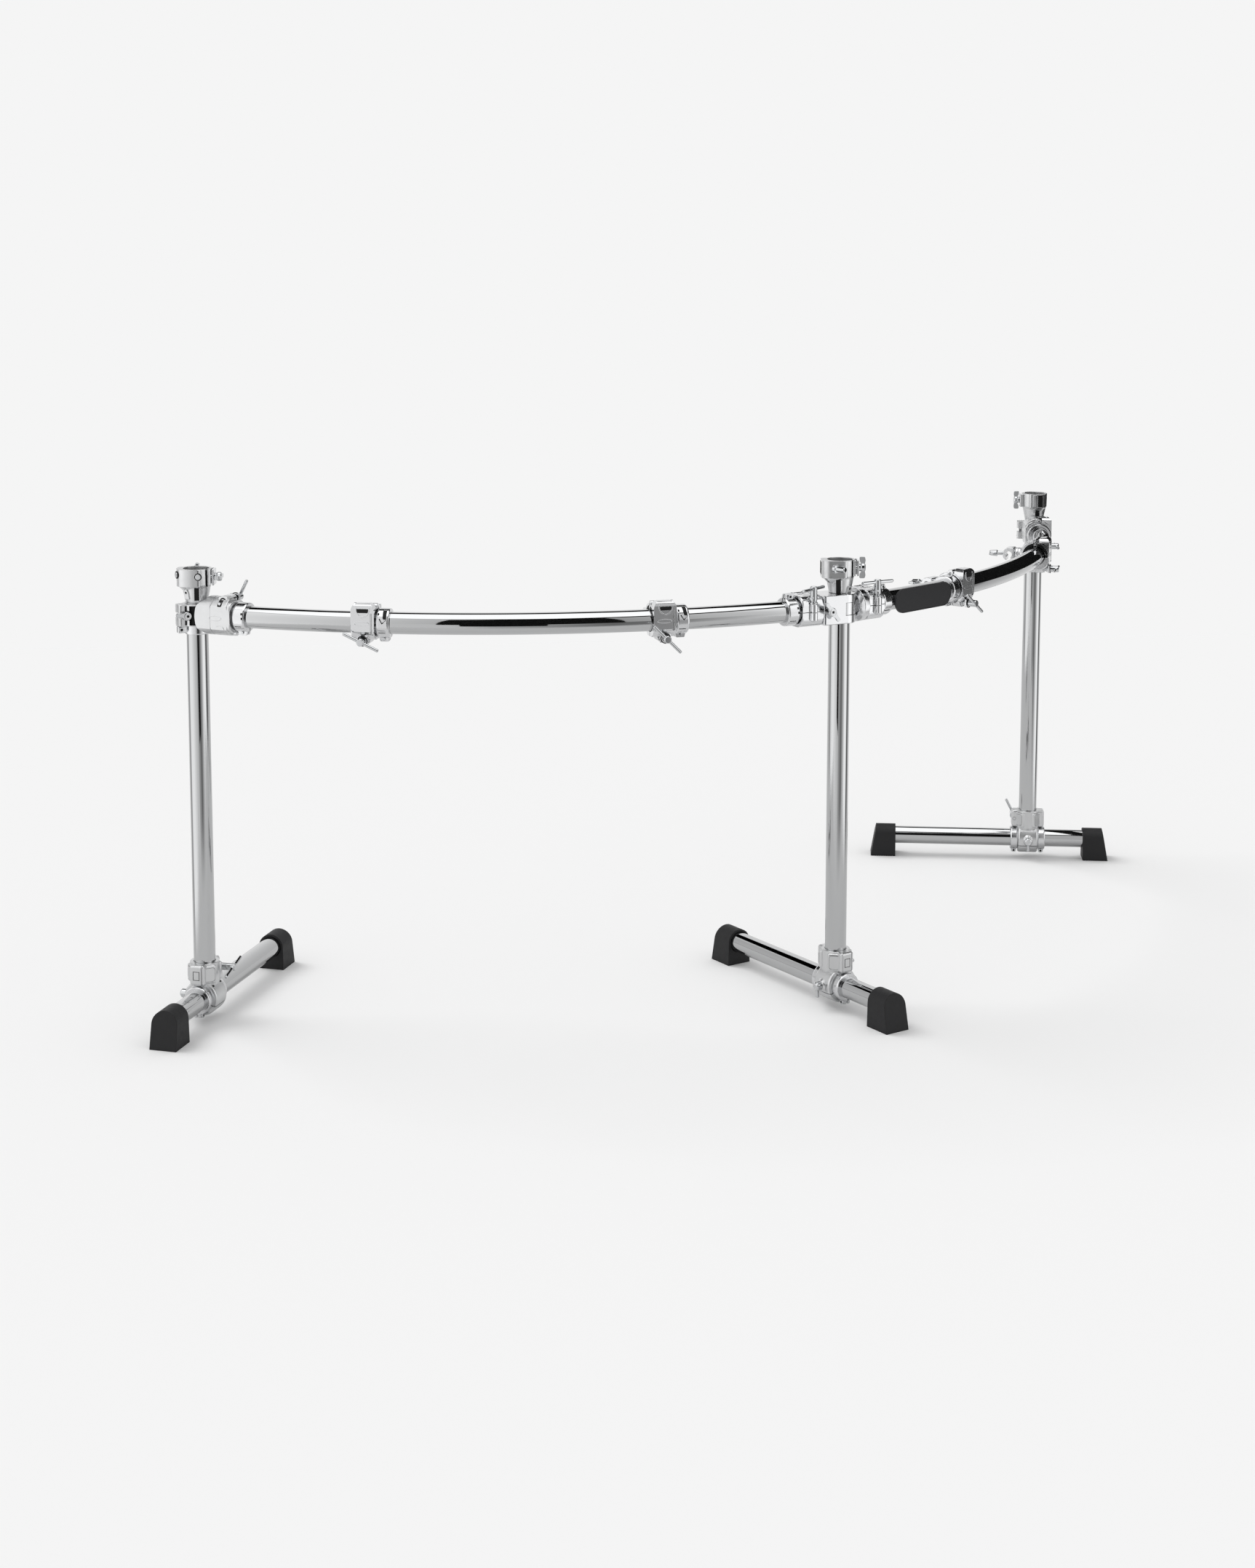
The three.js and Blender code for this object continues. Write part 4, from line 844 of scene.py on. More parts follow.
def socket_body(side):
    """Spigot, tapered cup and split collar, turned about Z, with its clamp plate on +X."""
    low, high, middle = COLLAR_BOTTOM, COLLAR_TOP, COLLAR_MIDDLE
    profile = [
        (0, -28), (16.6, -28), (16.6, 0.3), (TUBE_RADIUS, 0.3), (21.5, 12), (24.3, low - 3), (26.5, low + 2),
        (27, high), (22.5, high), (22.5, low), (15.5, 4), (0, 4),
    ]
    lug = slab((22.5, 33), (-13.5, 13.5), (middle - 14, middle + 14), 1.6, 3)
    slot = slab((27, 29.5), (-40, 11), (middle - 30, middle + 30), 0)
    hole = drill("x", BOLT_HOLE, 0, 40, (0, middle))
    # Painted shade: a black lining in the collar's split
    gap = slab((19, 22), (-40, -8), (low - 1, high + 2), 0)
    painted_lining_shade = clip(pipe("z", 24.5, 22.7, low, high - 2, corner=0), gap)
    details = {"left": left_front, "middle": middle_front, "right": right_back}[side]
    cup = cut(lathe(profile, SIDES, 0.9), slot, hole, gap)
    return [(cup, SATIN_CHROME), (cut(lug, slot, hole), CAST_CHROME), (painted_lining_shade, PAINTED_SHADE_BLACK), *details()]


def left_front():
    outline = [(-33.5, 14), (-33.5, -8), (-29, -19), (-20, -25.5), (-8, -28), (12, -27), (12, 14)]
    blade = slab((-3.4, 3.4), (24.5, 36), (COLLAR_TOP - 16, COLLAR_TOP + 7), 1.8, 3)
    return [
        boss_block(outline),
        *face_screw(8, -27.2, COLLAR_MIDDLE + 3, 0),
        *face_screw(-30.5, -15.5, COLLAR_MIDDLE + 5, -58),
        *arched_tab(-13.5, 7),
        *tall_window(4, 5, COLLAR_BOTTOM - 1.5),
        (moved(turned(blade, "y", 24), x=-29, z=3), BOLT_CHROME),
    ]


def middle_front():
    outline = [(-33.5, 16), (-33.5, -17), (-29, -24), (-20, -27.5), (9, -27.5), (14, -20), (14, 16)]
    # Painted shade: a black slot on the block's side, and a black disc on the stud's end
    slot = slab((-34.1, -33), (-12, 11), (COLLAR_BOTTOM + 4, COLLAR_TOP - 4), 0.5)
    stud = lathe([(0, -3), (7.6, -3), (7.6, 2.5), (5, 3.4), (5, 20), (4, 21), (0, 21)], BOLT_SIDES, 0.6)
    end = rod("z", 2.9, 20.5, 21.15, corner=0, sides=16)
    return [
        boss_block(outline, COLLAR_BOTTOM - 1),
        (slot, PAINTED_SHADE_BLACK),
        *facing([(stud, BOLT_CHROME), (end, PAINTED_SHADE_BLACK)], -9, -26.5, COLLAR_MIDDLE + 1, 46),
        *arched_tab(16, -3),
        *tall_window(-4, 1, COLLAR_BOTTOM - 3),
    ]


def right_back():
    outline = [(-21, -14), (-21, 23), (-17, 27.5), (12, 27.5), (15, 24), (15, -14)]
    up = (COLLAR_BOTTOM + 2, COLLAR_TOP - 2)
    return [
        boss_block(outline),
        # Painted shade: a black strip on the block's back face, beside a raised strip
        (slab((-13.5, -3.5), (26, 27.75), up, 0.3), PAINTED_SHADE_BLACK),
        (slab((-1.5, 7), (26, 28.3), up, 0.8), CAST_CHROME),
        *all_moved(tall_window(3, 3, COLLAR_BOTTOM - 5), spin(180)),
    ]


def boss_block(outline, low=COLLAR_BOTTOM):
    """A block cast round the collar, drawn from above, with a skirt that narrows to the cup."""
    outline = softened(outline, 6, 5)
    block = prism("z", outline, low, COLLAR_TOP - 0.12, 1.4, 3)
    skirt = prism("z", outline, low - 9, low + 2, 0)
    for vertex in skirt.vertices:
        if vertex.co.z < low:
            vertex.co.x *= 0.66
            vertex.co.y *= 0.7
    bores = rod("z", 22.6, low - 1, COLLAR_TOP + 5, corner=0), rod("z", 17, low - 20, COLLAR_TOP, corner=0)
    return cut(join(block, skirt), *bores), SATIN_CHROME


def face_screw(x, y, z, turn):
    """A round screw in a black ring of painted shade, facing out of the collar."""
    screw = [
        (rod("z", 6.6, 0, 1.3, corner=0.5, sides=BOLT_SIDES), PAINTED_SHADE_BLACK),
        (rod("z", 4.9, 0.5, 2.6, corner=0.8, sides=BOLT_SIDES), BOLT_CHROME),
    ]
    return facing(screw, x, y, z, turn)


def on_cup(parts, x, z=0):
    """Parts drawn on the cup's leaning face, carried round it."""
    around = math.degrees(math.asin(x / CUP_RADIUS))
    return all_moved(parts, spin(around) @ spin(CUP_LEAN, "X") @ shift(z=z + CUP_DROP))


def arched_tab(x, z):
    """The raised arch on the cup, with its round hole painted black as shade."""
    outline = softened(mirrored([(5.8, 0), (5.2, 12), (3.6, 16.4), (0, 18)]), 1.5)
    arch = prism("y", outline, CUP_FACE - 1, CUP_FACE + 4, 0.6)
    dot = rod("y", 2.3, CUP_FACE - 1.15, -17, (0, 12), 0, SMALL_SIDES)
    return on_cup([(arch, SATIN_CHROME), (dot, PAINTED_SHADE_BLACK)], x, z)


def tall_window(x, low, high):
    """A black upright strip of painted shade standing for a recess in the cup, with a bright edge beside it.
    """
    shade = slab((-4.2, 4.2), (CUP_FACE - 0.7, -15), (low, high), 0.5)
    edge = slab((4.2, 7), (CUP_FACE - 1.6, -15), (low, high), 0.8)
    return on_cup([(shade, PAINTED_SHADE_BLACK), (edge, CAST_CHROME)], x)


def socket_bolt():
    """Butterfly screw along X."""
    hub = [(0, 22.5), (SHANK, 22.5), (SHANK, 33.3), (6.6, 33.3), (6.6, 36), (8, 38)]
    hub += [(8, 43), (6, 44.8), (0, 44.8)]
    upper = [(3.4, 7), (4.6, 13), (3.5, 19), (-6.5, 19), (-6, 12), (-3.4, 7)]
    blades = prism("y", softened(mirrored(upper, upright=False), 2, 4), -3.2, 3.2, 1.2)
    return made_of(BOLT_CHROME, lathe(hub, BOLT_SIDES, 0.5, "x"), moved(blades, x=40.5))


# T-clamps on the posts


def bar_pocket():
    return bar_bore(BAR_END - BAR_GAP, 150)


def end_clamp(roll, flipped, lug_turn, lug_roll):
    """Post ring with its slit lug, a shoulder that swells to the bar ring, and the ring's base half."""
    half = POST_RING_HEIGHT / 2
    end = END_RING_REACH - END_RING_WIDTH / 2
    post_ring = rod("z", POST_RING_OUTER, -half, half, corner=1.6)
    lug = turned(prism("z", softened(oblong((-36, 0), (-12, 12)), 4, 4), -half, half, 2.4, 3), "z", lug_turn)
    post_ring = cut(join(post_ring, lug), *slit_cuts(lug_turn, lug_roll))
    radius = SHELL_RADIUS
    swell = [(0, 14), (19.5, 14), (25, 19), (radius, 28), (radius, end + 0.1), (0, end + 0.1)]
    swell = clip(lathe(swell, FINE_SIDES, 4, "x"), slab((0, end + 0.05), (-27, 27), (-radius, radius), 0))
    solids = [swell, slab((10 if flipped else 13, end), (-27, 27), (-half, half), 3)]
    if not flipped:
        bow = mirrored([(10.5, 0), (13, 16), (18, 23.5), (26, 29), (34, 32), (44, 33.9)], upright=False)
        bow = prism("y", softened(bow, 5, 4), -40, 27.5, 0)
        bow = clip(bow, rod("x", radius, -10, FAR, corner=0, sides=FINE_SIDES))
        solids.append(clip(bow, slab((-20, end + 0.1), (-27.4, -8), (-40, 40), 1.4)))
    body = cut(join(post_ring, *solids), post_bore(), bar_pocket())

    near = (6 if flipped else 0) - END_RING_WIDTH / 2
    shell = clip(
        rod("x", radius, near - 0.1, near + 32, corner=2.5, sides=FINE_SIDES),
        slab((near - 0.1, near + 32), (0.5, 27), (-radius, radius), 0),
    )
    seat_turn = shift(END_RING_REACH) @ spin(180 if flipped else 0) @ spin(roll, "X")
    ring = all_moved(ring_base(END_RING_WIDTH, [shell], SATIN_CHROME), seat_turn)
    # Painted shade: a black lining round the post ring's bore, and a black sheet in the mouth beside the lug
    painted_lining_shade = pipe("z", 20.7, 19.8, 1.6 - half, half - 1.6, corner=0)
    shade = slab((-26.5, -15), (-12.15, -3), (2 - half, half - 2), 0.4)
    shade = turned(turned(shade, "x", lug_roll), "z", lug_turn)
    marks = shell_marks(27 if flipped else -27.4)
    return [(body, SATIN_CHROME), *made_of(PAINTED_SHADE_BLACK, painted_lining_shade, shade), *marks, *ring]


def shell_marks(face):
    """The bare oval place, the low arch and the bolt pocket on a shell's face; the pocket is painted black as
    shade.
    """
    side, depth = math.copysign(1, face), abs(face)

    def layer(near, far):
        return sorted((near * side, far * side))

    oval = oval_ring("y", 12, 4.4, *layer(depth - 1, depth + 0.3), (-9, -1))
    arch = softened(mirrored([(0, -13.5), (6.5, -15.5), (9.5, -21), (9.5, -32)]), 2, 4)
    arch = moved(prism("y", arch, *layer(0, FAR), 0), x=-1)
    flat = slab((-20, 20), layer(depth - 1, depth + 0.35), (-20.8, -10), 0)
    curve = cut(
        pipe("x", SHELL_RADIUS + 0.4, 32, -20, 20, corner=0),
        slab((-90, 90), layer(depth - 0.01, 90), (-FAR, FAR), 0),
        slab((-90, 90), (-FAR, FAR), (-20.8, FAR), 0),
    )
    band = cut(
        pipe("x", SHELL_RADIUS + 0.15, 31, -12, 12, corner=0),
        slab((-90, 90), layer(depth, 90), (-FAR, FAR), 0),
    )
    slot = clip(prism("y", softened(oblong((-5, 3), (19.5, 40)), 2), *layer(0, FAR), 0), band)
    bolt = rod("y", 3, *layer(19, 26.5), (-1, 24.5), 0.8, 6)
    marks = made_of(SATIN_CHROME, oval, clip(arch, flat), clip(arch, curve))
    return all_moved([*marks, (slot, PAINTED_SHADE_BLACK), (bolt, BOLT_CHROME)], shift(END_RING_REACH))


def slit_cuts(lug_turn, lug_roll):
    """The lug's slits and bolt hole, the mouth behind its shade and the bolt's seat."""
    half = POST_RING_HEIGHT / 2
    tools = [
        slab((-FAR, 0), (-1, 1), (-half - 9, half + 9), 0),
        slab((-FAR, -26), (-40, 40), (-4.5, 4.5), 0),
        drill("y", BOLT_HOLE, -40, 40, (-LUG_BOLT_OFFSET, 0)),
        slab((-20, -5), (-40, 0), (2 - half, half - 2), 0),
        rod("y", 9, -FAR, -12, (-LUG_BOLT_OFFSET, 0), 0, BOLT_SIDES),
    ]
    return [turned(turned(tool, "x", lug_roll), "z", lug_turn) for tool in tools]


def post_lock(lug_turn):
    """A split collar under a clamp's post ring, with a hex screw in its lug."""
    top = -POST_RING_HEIGHT / 2
    collar = lathe([(19.2, top - 15), (22, top - 15), (22.5, top - 13), (22.5, top), (19.2, top)], SIDES, 0.6)
    lug = slab((-36.5, -19), (-6, 6), (top - 12.5, top - 0.4), 2.2, 3)
    lug = cut(lug, slab((-FAR, 0), (-0.9, 0.9), (top - 20, top + 5), 0))
    parts = made_of(CAST_CHROME, collar, lug) + facing(hex_screw(4.6, 3), -31.5, -6, top - 5.8)
    return all_moved(parts, spin(lug_turn))


def middle_clamp():
    half = MIDDLE_RING_HEIGHT / 2
    start = MIDDLE_RING_REACH - MIDDLE_RING_WIDTH / 2
    slot_half = PIVOT_RING_HEIGHT / 2 + 0.4
    head = rod("z", MIDDLE_RING_OUTER, -half, half, corner=2.2, sides=FINE_SIDES)
    block = slab((-2, start), (-MIDDLE_RING_OUTER, MIDDLE_RING_OUTER), (-half, half), 2.2, 3)
    body = cut(
        join(head, block), post_bore(),
        slab((-FAR, 5), (-FAR, FAR), (-slot_half, slot_half), 0),
        rod("z", PIVOT_EYE_RADIUS + 0.3, -slot_half, slot_half, corner=0, sides=FINE_SIDES),
        drill("y", BOLT_HOLE, 19, FAR, (SET_BOLT_SIDE, 0)),
        bar_pocket(),
        slab((46.2, 48.8), (22, FAR), (-half - 1, half + 1), 0),
    )
    ring_turn = shift(MIDDLE_RING_REACH) @ spin(180) @ spin(SIDEWAYS, "X")
    return [(body, CAST_CHROME), *all_moved(ring_base(MIDDLE_RING_WIDTH, slim=True), ring_turn)]


def pivot_clamp():
    half = PIVOT_RING_HEIGHT / 2
    start = PIVOT_RING_REACH - END_RING_WIDTH / 2
    eye = rod("z", PIVOT_EYE_RADIUS, -half, half, corner=0.8, sides=FINE_SIDES)
    arm = slab((0, start + 1), (-12, 12), (-half, half), 1)
    flange = lathe([(0, 30.5), (21, 30.5), (30, 35.5), (30, start + 0.1), (0, start + 0.1)], SIDES, 1, "x")
    body = cut(join(eye, arm, flange), post_bore(), bar_pocket())
    ring = ring_base(END_RING_WIDTH, slim=True) + ring_gate(END_RING_WIDTH, True)
    return [(body, CAST_CHROME), *all_moved(ring, shift(PIVOT_RING_REACH) @ spin(SIDEWAYS, "X"))]


# Multi-clamps with their accessory jaws


def multi_base():
    boss = lathe([(0, 0), (14.5, 0), (14.5, 29), (13, 31), (13, 36), (0, 36)], SIDES, 0.8, "y")
    boss = cut(boss, bar_bore(), slab((-30, 30), (-5, 0.5), (-30, 30), 0))
    return [*ring_base(RING_WIDTH), (boss, CAST_CHROME), *teeth(34.6, 36.2)]


def teeth(low, high):
    """A crown of ratchet teeth about Y."""
    crown = [(slab((9.8, 13.2), (low, high), (-0.9, 0.9), 0.25), turn) for turn in range(0, 360, 20)]
    return made_of(CAST_CHROME, *[turned(tooth, "y", turn) for tooth, turn in crown])


def jaw():
    disc = lathe([(0, 36.3), (13, 36.3), (13, 41), (11, 43.4), (0, 43.4)], SIDES, 0.6, "y")
    block = cut(
        prism("z", softened(mirrored([(13, 43.3), (13, 58), (7, 65.3)]), 2.4), -15, 15, 1.6, 3),
        rod("z", 6.6, -30, 30, (0, 54.3), 0, BOLT_SIDES),
        slab((0, 26), (49.8, 58.8), (-30, 30), 0),
    )
    stud = rod("y", 4, 65.3, 78.3, corner=0.5, sides=SMALL_SIDES)
    nut = [(0, 78.3), (5.6, 78.3), (6.5, 80), (5.4, 92.5), (4.6, 94.3), (0, 94.3)]
    nut = lathe(nut, BOLT_SIDES, 0.6, "y")
    wings = mirrored([(3, 79), (11, 79.4), (17, 82), (17, 94), (11, 92), (4, 86)])
    blades = turned(prism("z", softened(wings, 2), -2.3, 2.3, 1), "y", 90)
    # Painted shade: a black dot on the block's top face
    dot = rod("z", 2.4, 14, 15.2, (-9.4, 49.4), 0, SMALL_SIDES)
    return [
        *made_of(CAST_CHROME, disc, block), *made_of(BOLT_CHROME, stud, nut, blades),
        (dot, PAINTED_SHADE_BLACK), *teeth(36.1, 37.8),
    ]


def badge():
    """A bare black stadium with a raised rim, on a pad that follows the bar."""
    straight, radius = 57, 22
    outline = half_circle(radius, (straight, 0), -90) + half_circle(radius, (-straight, 0), 90)
    inner = [(x - math.copysign(2.2 * min(1, abs(x) / (straight + radius)), x), z * 0.9) for x, z in outline]
    plate = cut(prism("y", outline, -28, -24.05, 1.1, 3), prism("y", inner, -29, -27.6, 0))
    face = prism("y", inner, -27.75, -27.3, 0)
    pad = cut(slab((-30, 30), (-26, -4), (-7, 7), 1), rod("x", TUBE_RADIUS + 0.2, -90, 90, corner=0))
    return [*made_of(BADGE_BLACK, plate, face), (pad, CAST_CHROME)]


# Assembly


def station(point, heading, height=BAR_HEIGHT):
    return spot(point.x, point.y, height, heading)


def ring_place(place, reach, turn, roll=0):
    return place @ shift(reach * MM) @ spin(turn) @ spin(roll, "X")


def dress_end_clamp(side, place, roll, flipped, lug_turn, lug_roll, handle, wing):
    parts = end_clamp(roll, flipped, lug_turn, lug_roll)
    if side == "left":
        parts += post_lock(lug_turn)
    dress(f"{side}_top_clamp_body", parts, place)
    ring = ring_place(place, END_RING_REACH, 180 if flipped else 0, roll)
    dress(f"{side}_top_clamp_gate", ring_gate(END_RING_WIDTH), ring)
    dress(f"{side}_top_clamp_t_bolt", ring_bolt(handle), ring)
    lug = place @ spin(lug_turn) @ shift(-LUG_BOLT_OFFSET * MM) @ spin(lug_roll, "X")
    dress(f"{side}_top_clamp_wing_bolt", wing_bolt(-12.3, 12, 9, False, wing), lug)


left_place = station(LEFT, FRONT.start_heading)
dress_end_clamp("left", left_place, 180, False, lug_turn=51, lug_roll=0, handle=62, wing=10)
right_place = station(RIGHT, WING.end_heading + math.pi)
dress_end_clamp("right", right_place, 0, True, lug_turn=83, lug_roll=180, handle=0, wing=60)

middle_place = station(MIDDLE, FRONT.end_heading + math.pi)
dress("middle_top_clamp_body", middle_clamp(), middle_place)
middle_ring = ring_place(middle_place, MIDDLE_RING_REACH, 180, SIDEWAYS)
dress("middle_top_clamp_gate", ring_gate(MIDDLE_RING_WIDTH, True), middle_ring)
dress("middle_top_clamp_t_bolt", ring_bolt(-25), middle_ring)
set_bolt_place = ring_place(middle_place, SET_BOLT_SIDE, 180)
dress("middle_top_clamp_wing_bolt", wing_bolt(-29.3, -21.3, 16, True, 50), set_bolt_place)

pivot_place = station(MIDDLE, WING.start_heading)
dress("wing_pivot_clamp_body", pivot_clamp(), pivot_place)
dress("wing_pivot_clamp_t_bolt", ring_bolt(8), ring_place(pivot_place, PIVOT_RING_REACH, 0, SIDEWAYS))

dress("badge_plate", badge(), station(*WING.at(BADGE_ARC)))

MULTI_CLAMPS = [
    ("front_multi_clamp_1", FRONT, CLAMP_ARCS[0], 25, 0),
    ("front_multi_clamp_2", FRONT, CLAMP_ARCS[1], 45, 90),
    ("wing_multi_clamp_3", WING, CLAMP_ARCS[2], 35, 90),
    ("wing_multi_clamp_4", WING, CLAMP_ARCS[3], 0, 90),
]
for name, path, arc, handle, jaw_turn in MULTI_CLAMPS:
    place = station(*path.at(arc))
    dress(f"{name}_base", multi_base() + ring_mouth(RING_WIDTH / 2, 1), place)
    dress(f"{name}_gate", ring_gate(RING_WIDTH) + ring_mouth(RING_WIDTH / 2 - GATE_GAP, -1), place)
    dress(f"{name}_t_bolt", ring_bolt(handle), place)
    dress(f"{name}_jaw", jaw(), place @ spin(jaw_turn, "Y"))

POSTS = [
    ("left", LEFT, 0, 71, -16, -4, 90),
    ("middle", MIDDLE, MIDDLE_POST_RISE, 120.3, -24, -4, 0),
    ("right", RIGHT, 0, 171.2, -63, 176, 0),
]
for side, point, rise, leg_turn, handle, socket_turn, butterfly in POSTS:
    top = station(point, 0, POST_TOP + rise)
    dress(f"{side}_post", [(tube("z", -POST_LENGTH, 0), TUBE_CHROME)], top)
    cap = top @ spin(socket_turn)
    dress(f"{side}_socket_body", socket_body(side), cap)
    dress(f"{side}_socket_wing_bolt", socket_bolt(), cap @ shift(z=COLLAR_MIDDLE * MM) @ spin(butterfly, "X"))

    base = station(point, math.radians(leg_turn), 0)
    dress(f"{side}_base_clamp_body", base_clamp(), base)
    bolt_at = shift(BASE_BOLT_OFFSET * MM, 0, (BASE_BLOCK_BOTTOM + BASE_BLOCK_HEIGHT / 2) * MM)
    dress(f"{side}_base_clamp_t_bolt", t_bolt(-14.3, 14, handle), base @ bolt_at)
    dress(f"{side}_base_clamp_wing_bolt", leg_wing_bolt(), base @ shift(z=LEG_HEIGHT * MM))
    dress(f"{side}_leg_tube", leg_parts(side == "left"), base)
    for foot_name, reach, turn in (("long", LEG_LONG_REACH, 0), ("short", LEG_SHORT_REACH, 180)):
        foot_place = base @ spin(turn) @ shift((reach - FOOT_LENGTH) * MM)
        dress(f"{side}_leg_{foot_name}_foot", [(foot(), RUBBER)], foot_place)


# Studio

BACKGROUND = 0.913
ROOM = 0.74
SOFTBOX = 1.75
FLOOR_HALF = 3.2
FLOOR_IN_METAL = 0.74

# Levels of the room that metal sees, by bearing: degrees from the audience's side, positive to the right
LOW_WALLS = [
    (-180, 0.95), (-135, 0.95), (-126, 0.5), (-104, 0.5), (-94, 1.3), (-62, 1.3), (-25, 0.85), (-12, 0.8),
    (-4, 0.5), (6, 0.4), (18, 0.2), (26, 0.25), (40, 0.6), (52, 1.0), (62, 1.4), (82, 1.4), (95, 0.12),
    (107, 0.12), (116, 0.6), (140, 0.8), (180, 0.9),
]
HIGH_WALLS = [
    (-180, 0.95), (-135, 0.95), (-120, 0.6), (-100, 0.7), (-92, 1.3), (-60, 1.25), (-24, 0.85), (-12, 0.7),
    (18, 0.45), (27, 0.6), (48, 0.9), (58, 1.35), (76, 1.3), (92, 0.3), (106, 0.3), (118, 0.6), (140, 0.75),
    (162, 0.85), (180, 0.95),
]
# Heights, by bearing, where the walls end and where the softboxes begin
WALLS_TOP = [(-180, 0.6), (-110, 0.6), (-90, 0.815), (-15, 0.815), (0, 0.735), (95, 0.735), (115, 0.6)]
BOX_EDGE = [(-180, 0.88), (-110, 0.88), (-90, 0.83), (95, 0.83), (115, 0.88), (180, 0.88)]


def studio_object(name, work, material):
    mesh = bpy.data.meshes.new(name)
    work.to_mesh(mesh)
    work.free()
    mesh.materials.append(material)
    thing = bpy.data.objects.new(name, mesh)
    bpy.context.scene.collection.objects.link(thing)
    return thing


def studio_floor():
    """A pale floor. Metal sees it near the stand only, and the room beyond."""
    material, tree, shader = node_material("floor", (BACKGROUND,) * 3, 0, 0.9)
    shader.inputs["Specular IOR Level"].default_value = 0
    where = add_node(tree, "ShaderNodeTexCoord").outputs["Object"]
    place = add_node(tree, "ShaderNodeSeparateXYZ", {"Vector": where}).outputs
    x, y = left_post_spot.xy
    behind = smooth_step(tree, place["Y"], y - 0.7, y - 1.5)
    left = smooth_step(tree, place["X"], x - 0.3, x - 0.8)
    right = smooth_step(tree, place["X"], x + 1.9, x + 2.6)
    away = math_node(tree, "MAXIMUM", math_node(tree, "MAXIMUM", behind, left), right)
    glossy = add_node(tree, "ShaderNodeLightPath").outputs["Is Glossy Ray"]
    # Painted reflection: metal sees the floor darker, at FLOOR_IN_METAL, than the camera does
    tree.links.new(spread(tree, glossy, BACKGROUND, FLOOR_IN_METAL), shader.inputs["Base Color"])
    share = math_node(tree, "MULTIPLY", away, glossy)
    clear = add_node(tree, "ShaderNodeBsdfTransparent").outputs["BSDF"]
    mix = add_node(tree, "ShaderNodeMixShader", {0: share, 1: shader.outputs["BSDF"], 2: clear})
    tree.links.new(mix.outputs["Shader"], tree.nodes["Material Output"].inputs["Surface"])

    work = bmesh.new()
    bmesh.ops.create_grid(work, x_segments=1, y_segments=1, size=FLOOR_HALF)
    floor = studio_object("floor", work, material)
    floor.location = (0, 0, -0.0002)


def flag(name, near, far, low, high):
    """A standing black card between two places of the working frame, in metres; only metal sees it."""
    work = bmesh.new()
    ends = [left_post_spot.xy + Vector(end) for end in (near, far, far, near)]
    work.faces.new([work.verts.new((*end, z)) for end, z in zip(ends, (low, low, high, high))])
    material, _, shader = node_material(name, (0.01,) * 3, 0, 0.9)
    shader.inputs["Specular IOR Level"].default_value = 0
    card = studio_object(name, work, material)
    card.visible_camera = card.visible_diffuse = card.visible_shadow = False
    card.visible_transmission = card.visible_volume_scatter = False


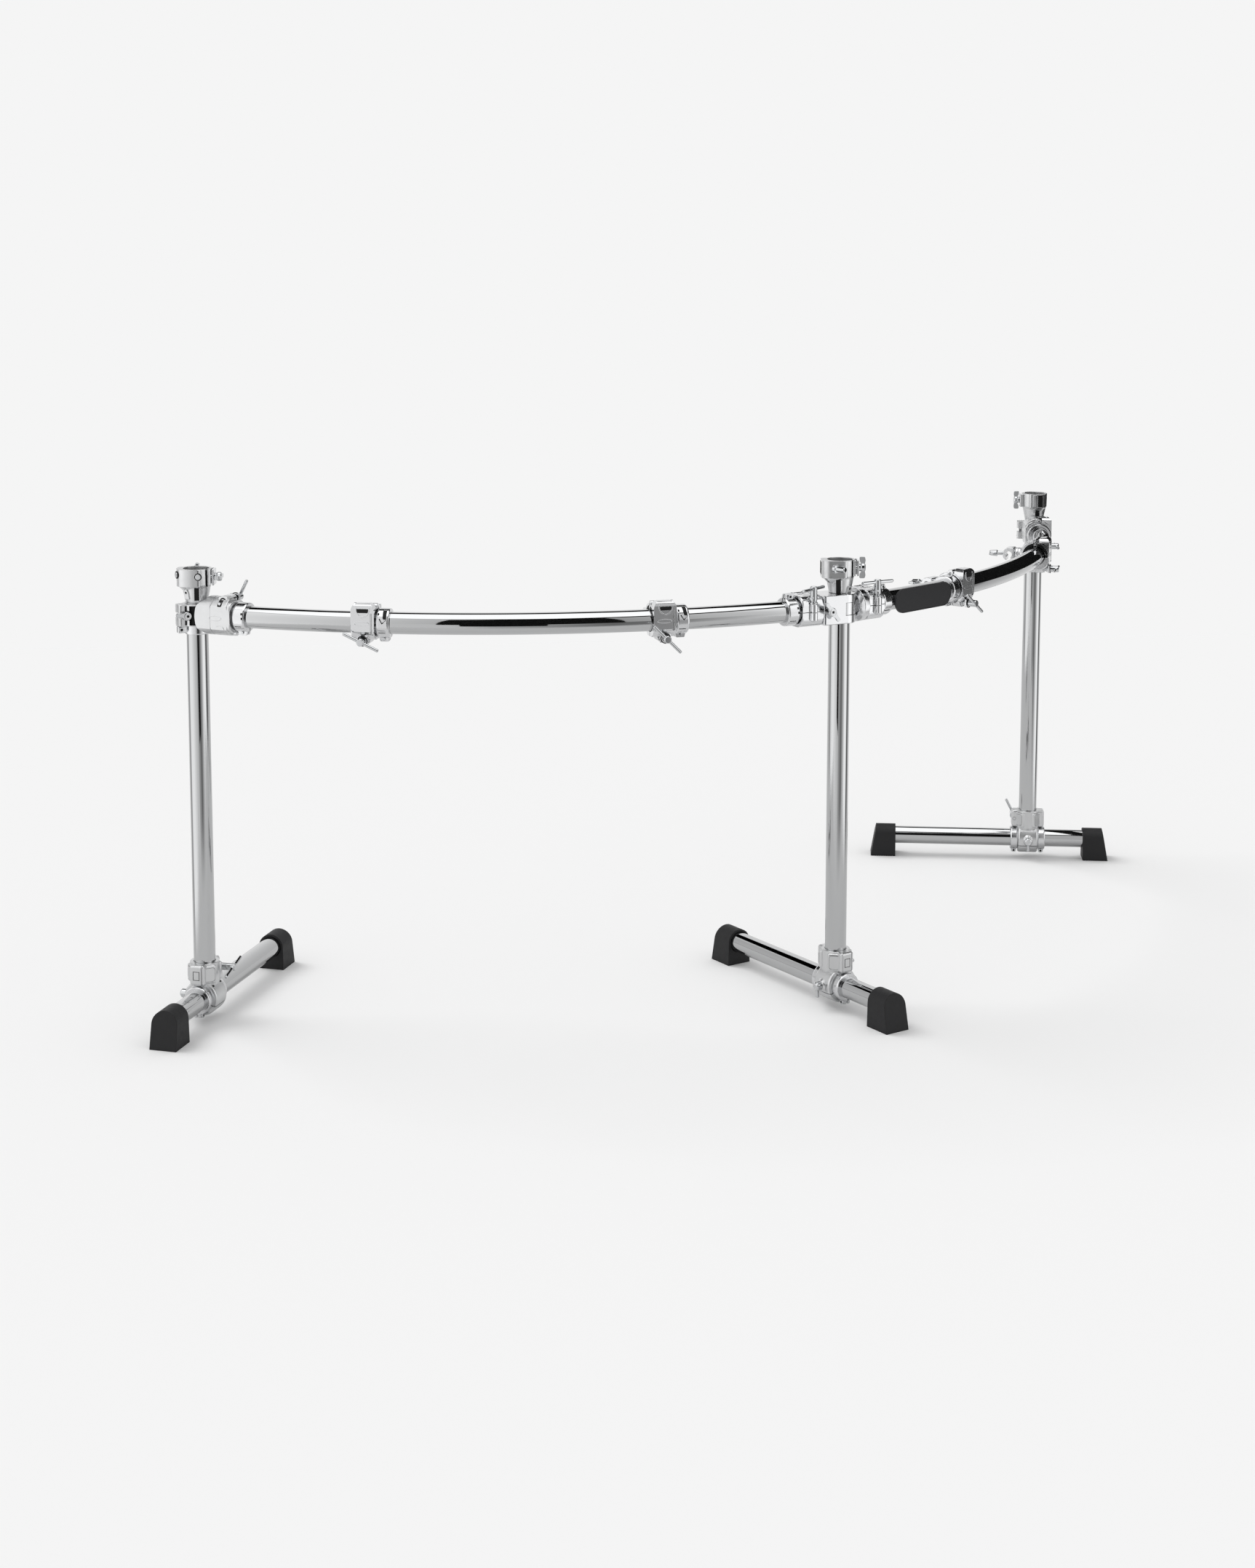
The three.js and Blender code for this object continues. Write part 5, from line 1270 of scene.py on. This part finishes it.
def studio_light():
    """An even pale room with a soft key lamp. Metal also sees softboxes, and dark gaps between them."""
    world = bpy.data.worlds.new("studio")
    bpy.context.scene.world = world
    world.use_nodes = True
    tree = world.node_tree
    sky = tree.nodes["Background"]

    def maths(operation, *values):
        return math_node(tree, operation, *values)

    where = add_node(tree, "ShaderNodeTexCoord").outputs["Generated"]
    direction = add_node(tree, "ShaderNodeSeparateXYZ", {"Vector": where}).outputs
    height = direction["Z"]
    bearing = maths("ARCTAN2", direction["X"], maths("MULTIPLY", direction["Y"], -1))
    share_of_turn = maths("MULTIPLY_ADD", bearing, 1 / math.tau, 0.5)

    def round_the_room(stops):
        ramp = add_node(tree, "ShaderNodeValToRGB", {"Fac": share_of_turn})
        elements = ramp.color_ramp.elements
        while len(elements) < len(stops):
            elements.new(0.5)
        for element, (degrees, level) in zip(elements, stops):
            element.position = (degrees + 180) / 360
            element.color = (level, level, level, 1)
        return ramp.outputs["Color"]

    rise = smooth_step(tree, height, -0.04, 0.08)
    walls = {0: rise, 2: round_the_room(LOW_WALLS), 3: round_the_room(HIGH_WALLS)}
    level = add_node(tree, "ShaderNodeMix", walls, data_type="FLOAT").outputs[0]
    top, edge = round_the_room(WALLS_TOP), round_the_room(BOX_EDGE)
    blur = (-0.012, 0.012)
    below_top = smooth_step(
        tree, maths("MULTIPLY", height, -1), *[maths("MULTIPLY_ADD", top, -1, width) for width in blur],
    )
    above_edge = smooth_step(tree, height, *[maths("ADD", edge, width) for width in blur])
    room = maths("MULTIPLY_ADD", above_edge, SOFTBOX, maths("MULTIPLY", level, below_top))

    rays = add_node(tree, "ShaderNodeLightPath").outputs
    lit = maths("MULTIPLY_ADD", rays["Is Glossy Ray"], maths("SUBTRACT", room, ROOM), ROOM)
    final = maths("MULTIPLY_ADD", rays["Is Camera Ray"], maths("SUBTRACT", BACKGROUND, lit), lit)
    tree.links.new(final, sky.inputs["Color"])
    sky.inputs["Strength"].default_value = 1

    key = bpy.data.lights.new("key", "SUN")
    key.angle = math.radians(34)
    slant = Vector((0.52, -0.30, -0.80)).normalized()
    key.energy = (1 - ROOM) * math.pi / -slant.z
    lamp = bpy.data.objects.new("key", key)
    lamp.rotation_euler = slant.to_track_quat("-Z", "Y").to_euler()
    lamp.visible_glossy = False
    bpy.context.scene.collection.objects.link(lamp)


def camera():
    """The photograph's viewing angle, from a fit of tubes and floor points."""
    width, height = 1725, 2156
    focal, centre_x, centre_y = 3367.7, 852.36, 699.26
    data = bpy.data.cameras.new("camera")
    data.sensor_fit = "HORIZONTAL"
    data.sensor_width = 36
    data.lens = focal * data.sensor_width / width
    data.shift_x = (width / 2 - centre_x) / width
    data.shift_y = (centre_y - height / 2) / width
    data.clip_start, data.clip_end = 0.1, 100
    shot = bpy.data.objects.new("camera", data)
    bpy.context.scene.collection.objects.link(shot)
    heading = math.radians(-3.649)
    place = spot(*rotated(735.4, -4200.8, heading), 1452.5, heading)
    shot.matrix_world = place @ spin(90 - 7.318, "X")
    bpy.context.scene.camera = shot


studio_floor()
flag("flag_in_front", (0.08, -2.25), (0.82, -2.25), 0.002, 3.2)
flag("flag_above", (-0.12, -2.26), (1.5, -2.26), 0.6, 3.2)
flag("flag_by_wing", (1.80, -0.10), (1.95, 1.75), 0.69, 1.5)
studio_light()
camera()
bpy.context.scene.view_settings.view_transform = "Standard"
